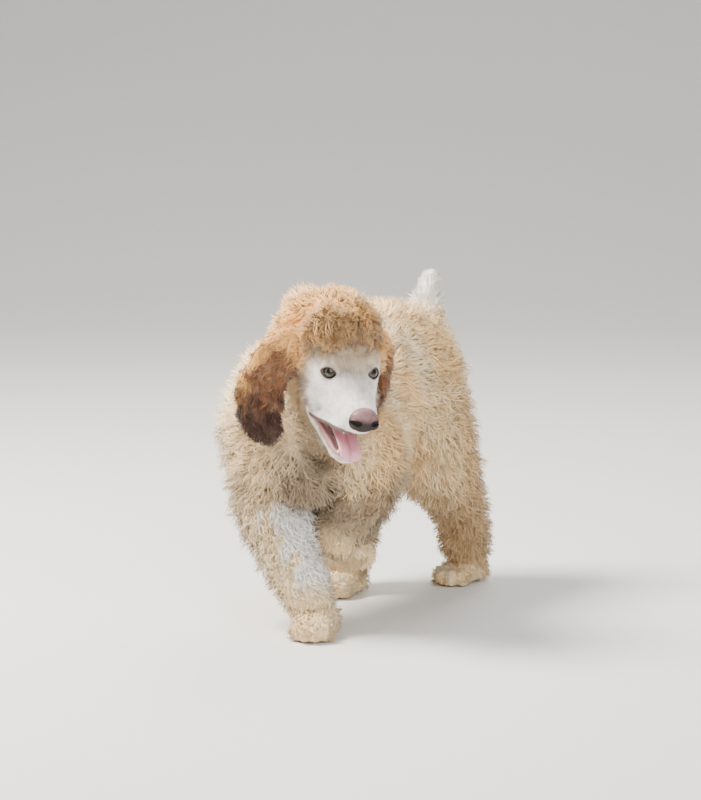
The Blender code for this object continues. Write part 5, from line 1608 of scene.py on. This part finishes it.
@dataclass(frozen=True)
class LeatherFinish:
    """The nose: liver pink above and darker below, the dark partly its own colour and partly painted shade on its
    downward face, with painted shade in the nostrils; pebbled and moist.
    """

    upper: Rgb = linear(134, 100, 100)
    # Lower: the leather's own dark, deepened with painted shade where the nose faces down.
    lower: Rgb = linear(24, 13, 12)
    # Hollow: painted shade inside the nostrils.
    hollow: Rgb = linear(16, 9, 9)

    def material(self) -> bpy.types.Material:
        """The nose's material."""
        paint = Paint("nose_leather_moist")
        place = paint.values("place")
        height = paint.node("ShaderNodeSeparateXYZ", {}, {0: place}, 2)
        pebbles = paint.node("ShaderNodeTexVoronoi", {"feature": "F1"}, {"Vector": place, "Scale": 900.0})
        # Darker towards the bottom: partly the leather's colour, partly painted shade.
        share = paint.ranged(height, -0.0232, -0.0150, 0.0, 1.0)
        patches = paint.ranged(paint.noise(place, 260.0, 3.0), 0.3, 0.7, 0.86, 1.10)
        tone = paint.mix(share, self.lower, self.upper)
        # Painted shade: the nostrils' hollows are painted near black.
        tone = paint.mix(paint.values("hollow", "Fac"), tone, self.hollow)
        grey = paint.node("ShaderNodeCombineXYZ", {}, {0: patches, 1: patches, 2: patches})
        colour = paint.node("ShaderNodeVectorMath", {"operation": "MULTIPLY"}, {0: tone, 1: grey})
        normal = paint.bump(pebbles, 0.45, 0.0004)
        rough = 0.48 + 0.16 * paint.noise(place, 500.0)
        return paint.finish(Base_Color=colour, Roughness=rough, Normal=normal, Coat_Weight=0.05,
                            Specular_IOR_Level=0.35)


@dataclass(frozen=True)
class TongueFinish:
    """A wet pink tongue with fine buds and a darker middle."""

    pink: Rgb = linear(222, 152, 166)
    deep: Rgb = linear(186, 104, 122)

    def material(self) -> bpy.types.Material:
        """The tongue's material."""
        paint = Paint("tongue_wet")
        place = paint.values("place")
        across = paint.node("ShaderNodeSeparateXYZ", {}, {0: place}, 1)
        near = paint.node("ShaderNodeMath", {"operation": "ABSOLUTE"}, {0: across})
        patches = paint.noise(place, 220.0, 3.0)
        share = paint.ranged(near + 0.003 * patches, 0.0008, 0.0040, 0.55, 0.0)
        colour = paint.mix(share, self.pink, self.deep)
        buds = paint.node("ShaderNodeTexVoronoi", {"feature": "F1"}, {"Vector": place, "Scale": 1500.0})
        normal = paint.bump(buds, 0.30, 0.0003)
        rough = 0.30 + 0.15 * patches
        return paint.finish(Base_Color=colour, Roughness=rough, Normal=normal, Coat_Weight=0.3)


@dataclass(frozen=True)
class ToothFinish:
    """Milk teeth, white with a warm root."""

    white: Rgb = linear(238, 234, 222)
    root: Rgb = linear(214, 190, 160)

    def material(self) -> bpy.types.Material:
        """The teeth's material."""
        paint = Paint("milk_tooth")
        along = paint.values("along", "Fac")
        patches = paint.noise(paint.values("place"), 700.0)
        colour = paint.mix(paint.ranged(along + 0.1 * patches, 0.0, 0.5, 0.8, 0.0), self.white, self.root)
        return paint.finish(Base_Color=colour, Roughness=0.22 + 0.1 * patches)


@dataclass(frozen=True)
class PaperFinish:
    """The pale floor."""

    colour: Rgb = linear(226, 225, 221)

    def material(self) -> bpy.types.Material:
        """The floor's material."""
        paint = Paint("pale_floor")
        place = paint.node("ShaderNodeTexCoord", {}, {}, "Object")
        grain = paint.noise(place, 60.0, 4.0)
        tone = paint.mix(paint.ranged(grain, 0.3, 0.7, 0.0, 0.06), self.colour, linear(205, 203, 198))
        return paint.finish(Base_Color=tone, Roughness=0.9)


@dataclass
class Nose:
    """The nose leather with its wings and comma-shaped nostrils."""

    head: HeadFrame
    pad: tuple[float, float, float] = (0.0588, 0.0, -0.0226)
    pad_sizes: tuple[float, float, float] = (0.0110, 0.0145, 0.0122)
    wing: tuple[float, float, float] = (0.0610, 0.0085, -0.0242)
    wing_sizes: tuple[float, float, float] = (0.0080, 0.0068, 0.0074)
    # Forward, left, up, radius
    nostril: tuple = (
        (0.0748, 0.0050, -0.0228, 0.0017), (0.0688, 0.0076, -0.0222, 0.0027),
        (0.0654, 0.0116, -0.0224, 0.0023), (0.0618, 0.0152, -0.0234, 0.0014),
    )

    def build(self, finish: bpy.types.Material) -> bpy.types.Object:
        """The nose as one closed piece.

        Args:
            finish: Its leather.

        Returns:
            The new object.
        """
        at, axes = self.head.at, self.head.axes
        shells = [ball("pad", at(self.pad), self.pad_sizes, axes, 5)]
        cutters = []
        for side in (-1, 1):
            shells.append(ball("wing", at(np.array(self.wing) * (1, side, 1)), self.wing_sizes, axes, 5))
            rows = curve_through(np.array(self.nostril), 20)
            path = at(rows[:, :3] * (1, side, 1))
            cutters.append(closed_mesh("nostril", tube(path, rows[:, 3], 20), 0.6))
        groove = at([(0.0730, 0, -0.0250), (0.0712, 0, -0.0290), (0.0660, 0, -0.0340)])
        cutters.append(closed_mesh("groove", tube(groove, np.array((0.0005, 0.0009, 0.0009)), 12), 0.6))
        nose = remeshed(joined("nose_leather", shells), 0.00045, 6)
        nose = combined(nose, cutters, "DIFFERENCE")
        nose = remeshed(nose, 0.00040, 2)
        points, _ = vertices_of(nose)
        put_values(nose.data, "place", self.head.read(points))
        # Painted shade: the leather near the inner end of each nostril is marked to be painted near black.
        rows = curve_through(np.array(self.nostril), 20)
        lines = np.concatenate([self.head.at(rows[3:, :3] * (1, side, 1)) for side in (-1, 1)])
        gaps = np.linalg.norm(points[:, None] - lines[None], axis=2).min(axis=1)
        put_values(nose.data, "hollow", step(0.0028, 0.0015, gaps))
        nose.data.shade_smooth()
        nose.data.materials.clear()
        nose.data.materials.append(finish)
        return nose


@dataclass
class Tongue:
    """The tongue, lying over the lower lip with its tip hanging."""

    head: HeadFrame
    # Forward, left, up in the jaw's own place, half width, half thickness
    rows: tuple = (
        (-0.0020, 0, -0.0415, 0.0110, 0.0028), (0.0120, 0, -0.0405, 0.0112, 0.0030),
        (0.0310, 0, -0.0400, 0.0104, 0.0032), (0.0430, 0, -0.0398, 0.0108, 0.0030),
        (0.0485, 0, -0.0406, 0.0110, 0.0028), (0.0515, 0, -0.0426, 0.0104, 0.0026),
        (0.0524, 0, -0.0446, 0.0084, 0.0023), (0.0522, 0, -0.0460, 0.0050, 0.0017),
    )
    crease: float = 0.0011

    def build(self, finish: bpy.types.Material) -> bpy.types.Object:
        """The tongue as one closed piece with a crease down its middle.

        Args:
            finish: Its wet skin.

        Returns:
            The new object.
        """
        rows = curve_through(np.array(self.rows), 70)
        path = self.head.jaw_at(rows[:, :3])
        ahead = unit(np.gradient(path, axis=0))
        side = self.head.axes[1]
        rings, places = [], []
        angle = np.arange(56) * 2 * math.pi / 56
        for centre, way, row in zip(path, ahead, rows):
            over = unit(np.cross(way, side))
            over = over if over @ self.head.jaw_up > -0.2 else -over
            across = np.sign(np.cos(angle)) * np.abs(np.cos(angle)) ** 0.85
            lift = np.sin(angle) * row[4] - self.crease * np.exp(-((across / 0.16) ** 2)) * (np.sin(angle) > 0)
            lift = lift + 0.0010 * across**2
            rings.append(centre + np.outer(across * row[3], side) + np.outer(lift, over))
            places.append(np.stack([np.full(56, row[0]), across * row[3], lift], axis=1))
        tongue = closed_mesh("tongue_wet", rings, 0.25)
        ends = np.array([places[0].mean(axis=0), places[-1].mean(axis=0)])
        put_values(tongue.data, "place", np.vstack([*places, ends]))
        tongue.data.shade_smooth()
        tongue.data.materials.append(finish)
        return tongue


@dataclass
class Teeth:
    """Milk teeth: the canines above and below and four small front teeth."""

    head: HeadFrame
    upper: tuple[float, float, float] = (0.0445, 0.0118, -0.0390)
    lower: tuple[float, float, float] = (0.0405, 0.0090, -0.0470)
    front: tuple[float, float] = (0.0440, -0.0483)

    def tooth(self, base: Array, tip: Array, bend: Array, radius: float) -> bpy.types.Object:
        """One tapered, bent tooth."""
        t = np.linspace(0, 1, 12)[:, None]
        path = base * (1 - t) + tip * t + bend * (4 * t * (1 - t))
        radii = radius * (1 - 0.86 * t[:, 0] ** 1.5)
        tooth = closed_mesh("tooth", tube(path, radii, 14), 0.8)
        points, _ = vertices_of(tooth)
        along = ((points - base) @ unit(tip - base)) / np.linalg.norm(tip - base)
        put_values(tooth.data, "along", along)
        put_values(tooth.data, "place", points)
        return tooth

    def build(self, finish: bpy.types.Material) -> bpy.types.Object:
        """All the teeth as one piece.

        Args:
            finish: Their enamel.

        Returns:
            The new object.
        """
        forward, _, up = self.head.axes
        made = []
        for side in (-1, 1):
            base = self.head.at(np.array(self.upper) * (1, side, 1))
            made.append(self.tooth(base, base - up * 0.0062, forward * 0.0006, 0.0018))
            base = self.head.jaw_at(np.array(self.lower) * (1, side, 1))[0]
            made.append(self.tooth(base, base + self.head.jaw_up * 0.0060, forward * 0.0006, 0.0017))
        for k in range(4):
            base = self.head.jaw_at((self.front[0], (k - 1.5) * 0.0030, self.front[1]))[0]
            made.append(self.tooth(base, base + self.head.jaw_up * 0.0042, forward * 0.0003, 0.0013))
        teeth = joined("milk_teeth", made)
        teeth.data.shade_smooth()
        teeth.data.materials.append(finish)
        return teeth


@dataclass
class SkinTint:
    """Colours the skin: the coat's markings darkened as painted shade under the tufts, lip edges, the mouth and the
    rims of the eyes.
    """

    head: Head
    coat_map: CoatMap
    lips: Rgb = linear(84, 50, 50)
    mouth: Rgb = linear(188, 128, 126)
    rims: Rgb = linear(66, 46, 40)
    halo: Rgb = linear(150, 124, 102)
    pads: Rgb = linear(92, 66, 62)

    def near_lips(self, points: Array, upper: bool) -> Array:
        """How near points lie to the edges of the upper or the lower lip, from 0 to 1."""
        gaps = [np.linalg.norm(points[:, None] - self.head.lip_edge(side, upper)[None], axis=2).min(axis=1)
                for side in (-1, 1)]
        return step(0.0056, 0.0034, np.min(gaps, axis=0))

    def near_lids(self, points: Array, far: float = 0.0020, close: float = 0.0008) -> Array:
        """How near points lie to the rims of the eyes, from 0 to 1."""
        gaps = [np.linalg.norm(points[:, None] - eye.lid_edge(eye.radius + 0.0006)[None], axis=2).min(axis=1)
                for eye in self.head.eyes()]
        return step(far, close, np.min(gaps, axis=0))

    def inside(self, points: Array, normals: Array) -> Array:
        """Where the skin lies within the mouth, from 0 to 1."""
        places = self.head.frame.read(points)
        reach = step(-0.082, -0.076, places[:, 2]) * step(-0.022, -0.016, places[:, 0])
        reach = reach * step(0.051, 0.047, places[:, 0]) * (np.abs(places[:, 1]) < 0.026)
        _, left, up = self.head.frame.axes
        share = np.zeros(len(points))
        for side in (-1, 1):
            for upper in (True, False):
                line = self.head.lip_line(side, upper)[:, :3]
                nearest = np.linalg.norm(points[:, None] - line[None], axis=2).argmin(axis=1)
                offset = points - line[nearest]
                inner = step(0.0014, -0.0006, offset @ left * side) * (places[:, 1] * side > -0.001)
                if upper:
                    inner = inner * (normals @ up < 0.2) * step(-0.029, -0.033, places[:, 2])
                else:
                    inner = inner * step(-0.0014, 0.0002, offset @ self.head.frame.jaw_up) * (normals @ up > -0.3)
                    inner = inner * step(-0.036, -0.041, places[:, 2])
                share = np.maximum(share, inner)
        return reach * share

    def apply(self, skin: bpy.types.Object) -> None:
        """Writes the colour, the wetness and the place of each point of the skin."""
        points, normals = vertices_of(skin)
        fleece = self.coat_map.read(points, normals)
        near = np.linalg.norm(points - self.head.frame.at((0.0, 0.0, -0.02)), axis=1) < 0.11
        lips, rims, mouth, halo = (np.zeros(len(points)) for _ in range(4))
        lips[near] = self.near_lips(points[near], True)
        rims[near] = self.near_lids(points[near])
        halo[near] = 0.45 * self.near_lids(points[near], 0.0070, 0.0015)
        mouth[near] = np.maximum(self.inside(points[near], normals[near]), 0.8 * self.near_lips(points[near], False))
        # Painted shade: the skin seen between the tufts is painted darker than the coat, most under the long wool.
        short = step(0.012, 0.005, fleece.length)[:, None]
        tint = fleece.tint * (0.82 + 0.12 * short)
        soles = step(-0.6, -0.9, normals[:, 2]) * step(0.010, 0.004, points[:, 2])
        for colour, share in ((self.mouth, mouth), (self.lips, lips), (self.halo, halo), (self.rims, rims),
                              (self.pads, soles)):
            tint = tint * (1 - share[:, None]) + np.array(colour) * share[:, None]
        put_values(skin.data, "tint", tint)
        put_values(skin.data, "root", points)
        put_values(skin.data, "wet", np.maximum(np.maximum(lips, mouth), 0.8 * rims))


@dataclass
class Studio:
    """A pale floor, soft lights and the camera, placed from where the puppy stands."""

    turn: float = 30.4
    away: float = 3.0
    height: float = 0.65
    pitch: float = 8.01
    focal: float = 3000.0
    middle: tuple[float, float] = (0.0410, -0.0803)

    def ground(self, across: float, ahead: float, height: float) -> Vector:
        """A point from its distances across and along the camera's view."""
        cosine, sine = math.cos(math.radians(self.turn)), math.sin(math.radians(self.turn))
        return Vector((cosine * across - sine * ahead + self.middle[0],
                       sine * across + cosine * ahead + self.middle[1], height))

    def camera(self, shift: Vector) -> bpy.types.Object:
        """The camera at the photograph's own place."""
        lens = bpy.data.cameras.new("view")
        lens.sensor_width = 36.0
        lens.sensor_fit = "AUTO"
        lens.lens = lens.sensor_width * self.focal / 800
        lens.clip_start, lens.clip_end = 0.1, 30.0
        camera = bpy.data.objects.new("view", lens)
        camera.location = self.ground(0, -self.away, self.height) + shift
        ahead = (self.ground(0, 1, 0) - self.ground(0, 0, 0)).normalized()
        drop = math.radians(self.pitch)
        aim = ahead * math.cos(drop) - Vector((0, 0, math.sin(drop)))
        camera.rotation_euler = aim.to_track_quat("-Z", "Y").to_euler()
        bpy.context.scene.collection.objects.link(camera)
        bpy.context.scene.camera = camera
        return camera

    def lamp(self, name: str, place: Vector, target: Vector, size: float, power: float, tone: Rgb) -> None:
        """One square lamp, turned to its target."""
        light = bpy.data.lights.new(name, "AREA")
        light.size = size
        light.energy = power
        light.color = tone
        lamp = bpy.data.objects.new(name, light)
        lamp.location = place
        lamp.rotation_euler = (target - place).to_track_quat("-Z", "Y").to_euler()
        bpy.context.scene.collection.objects.link(lamp)

    def lights(self, shift: Vector) -> None:
        """A high key lamp, a broad fill and a lamp behind."""
        target = Vector((0.03, -0.05, 0.2)) + shift
        self.lamp("key", self.ground(-1.2, 0.10, 1.9), target, 0.8, 160.0, (1.0, 0.945, 0.86))
        self.lamp("fill", self.ground(1.2, -2.3, 1.5), target, 2.0, 64.0, (1.0, 0.99, 0.97))
        self.lamp("back", self.ground(0.5, 1.5, 2.0), target, 1.0, 30.0, (1.0, 0.98, 0.94))
        world = bpy.data.worlds.new("room")
        world.use_nodes = True
        world.node_tree.nodes["Background"].inputs["Color"].default_value = (0.97, 0.98, 1.0, 1.0)
        world.node_tree.nodes["Background"].inputs["Strength"].default_value = 0.55
        bpy.context.scene.world = world

    def floor(self, finish: bpy.types.Material) -> bpy.types.Object:
        """A broad floor that rises softly far behind."""
        rows = []
        for k in range(24):
            share = k / 23
            rows.append((share * 8.0 - 3.0, 1.8 * max(0.0, share - 0.70) ** 2 * 11))
        points = [tuple(self.ground(side * 6.0, ahead, rise)) for ahead, rise in rows for side in (-1, 1)]
        faces = [(2 * k, 2 * k + 1, 2 * k + 3, 2 * k + 2) for k in range(len(rows) - 1)]
        mesh = bpy.data.meshes.new("floor")
        mesh.from_pydata(points, [], faces)
        mesh.shade_smooth()
        mesh.materials.append(finish)
        floor = bpy.data.objects.new("floor", mesh)
        bpy.context.scene.collection.objects.link(floor)
        return floor


FLESH = (
    "torso", "neck", "tail", "head", "lower_jaw", "ear_left", "ear_right",
    "fore_left_upper", "fore_left_lower", "fore_left_paw", "fore_right_upper", "fore_right_lower",
    "fore_right_paw", "hind_left_upper", "hind_left_lower", "hind_left_paw", "hind_right_upper",
    "hind_right_lower", "hind_right_paw",
)


@dataclass
class Poodle:
    """The whole puppy: its skin, coat, eyes, nose, tongue and teeth."""

    trunk: Trunk = field(default_factory=Trunk)
    head: Head = field(default_factory=lambda: Head(HeadFrame()))
    legs: list[Limb] = field(default_factory=four_legs)

    def ears(self) -> list[Ear]:
        """The right ear and the left one."""
        return [Ear(-1, self.head.frame), Ear(1, self.head.frame)]

    def place(self, piece: bpy.types.Object, shift: Vector, slot: str, *nodes: str) -> None:
        """Puts a finished piece in the scene, riding on the body."""
        piece.data.transform(Matrix.Translation(shift))
        piece.data.update()
        bpy.context.scene.collection.objects.link(piece)
        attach(piece, "root")
        if nodes:
            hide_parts(*nodes)
        LOG.info("%s: %d faces", piece.name, len(piece.data.polygons))

    def build(self, shift: Vector) -> None:
        """Makes every piece and puts it in its place.

        Args:
            shift: From the puppy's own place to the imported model's.
        """
        ears = self.ears()
        courses = self.trunk.courses() + [course for leg in self.legs for course in leg.courses()]
        coat_map = CoatMap(courses, self.head, ears)
        maker = Skin(self.trunk, self.legs, self.head, ears)
        skin = maker.build()
        maker.fleeced(skin, coat_map)
        SkinTint(self.head, coat_map).apply(skin)
        skin.data.materials.clear()
        skin.data.materials.append(SkinFinish().material())
        coat = Coat(skin, coat_map, self.head).build(CoatFinish().material())
        self.place(skin, shift, "coat_apricot", *FLESH)
        for piece in coat:
            self.place(piece, shift, "coat_apricot")
        for eye in self.head.eyes():
            globe = eye.globe()
            globe.data.shade_smooth()
            globe.data.materials.append(EyeFinish().material())
            self.place(globe, shift, "eye_hazel", "eye_right" if eye.side < 0 else "eye_left")
        self.place(Nose(self.head.frame).build(LeatherFinish().material()), shift, "nose_leather", "nose")
        self.place(Tongue(self.head.frame).build(TongueFinish().material()), shift, "tongue_pink", "tongue")
        self.place(Teeth(self.head.frame).build(ToothFinish().material()), shift, "coat_white")


def main() -> None:
    """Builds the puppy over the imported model, then the floor, the lights and the camera."""
    logging.basicConfig(level=logging.INFO, format="%(message)s")
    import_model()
    poodle = Poodle()
    low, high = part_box("eye_left")
    centre = (Vector(low) + Vector(high)) / 2
    shift = centre - Vector(poodle.head.eyes()[1].frame[0])
    poodle.build(shift)
    studio = Studio()
    studio.floor(PaperFinish().material())
    studio.lights(shift)
    studio.camera(shift)


if __name__ == "__main__":
    main()
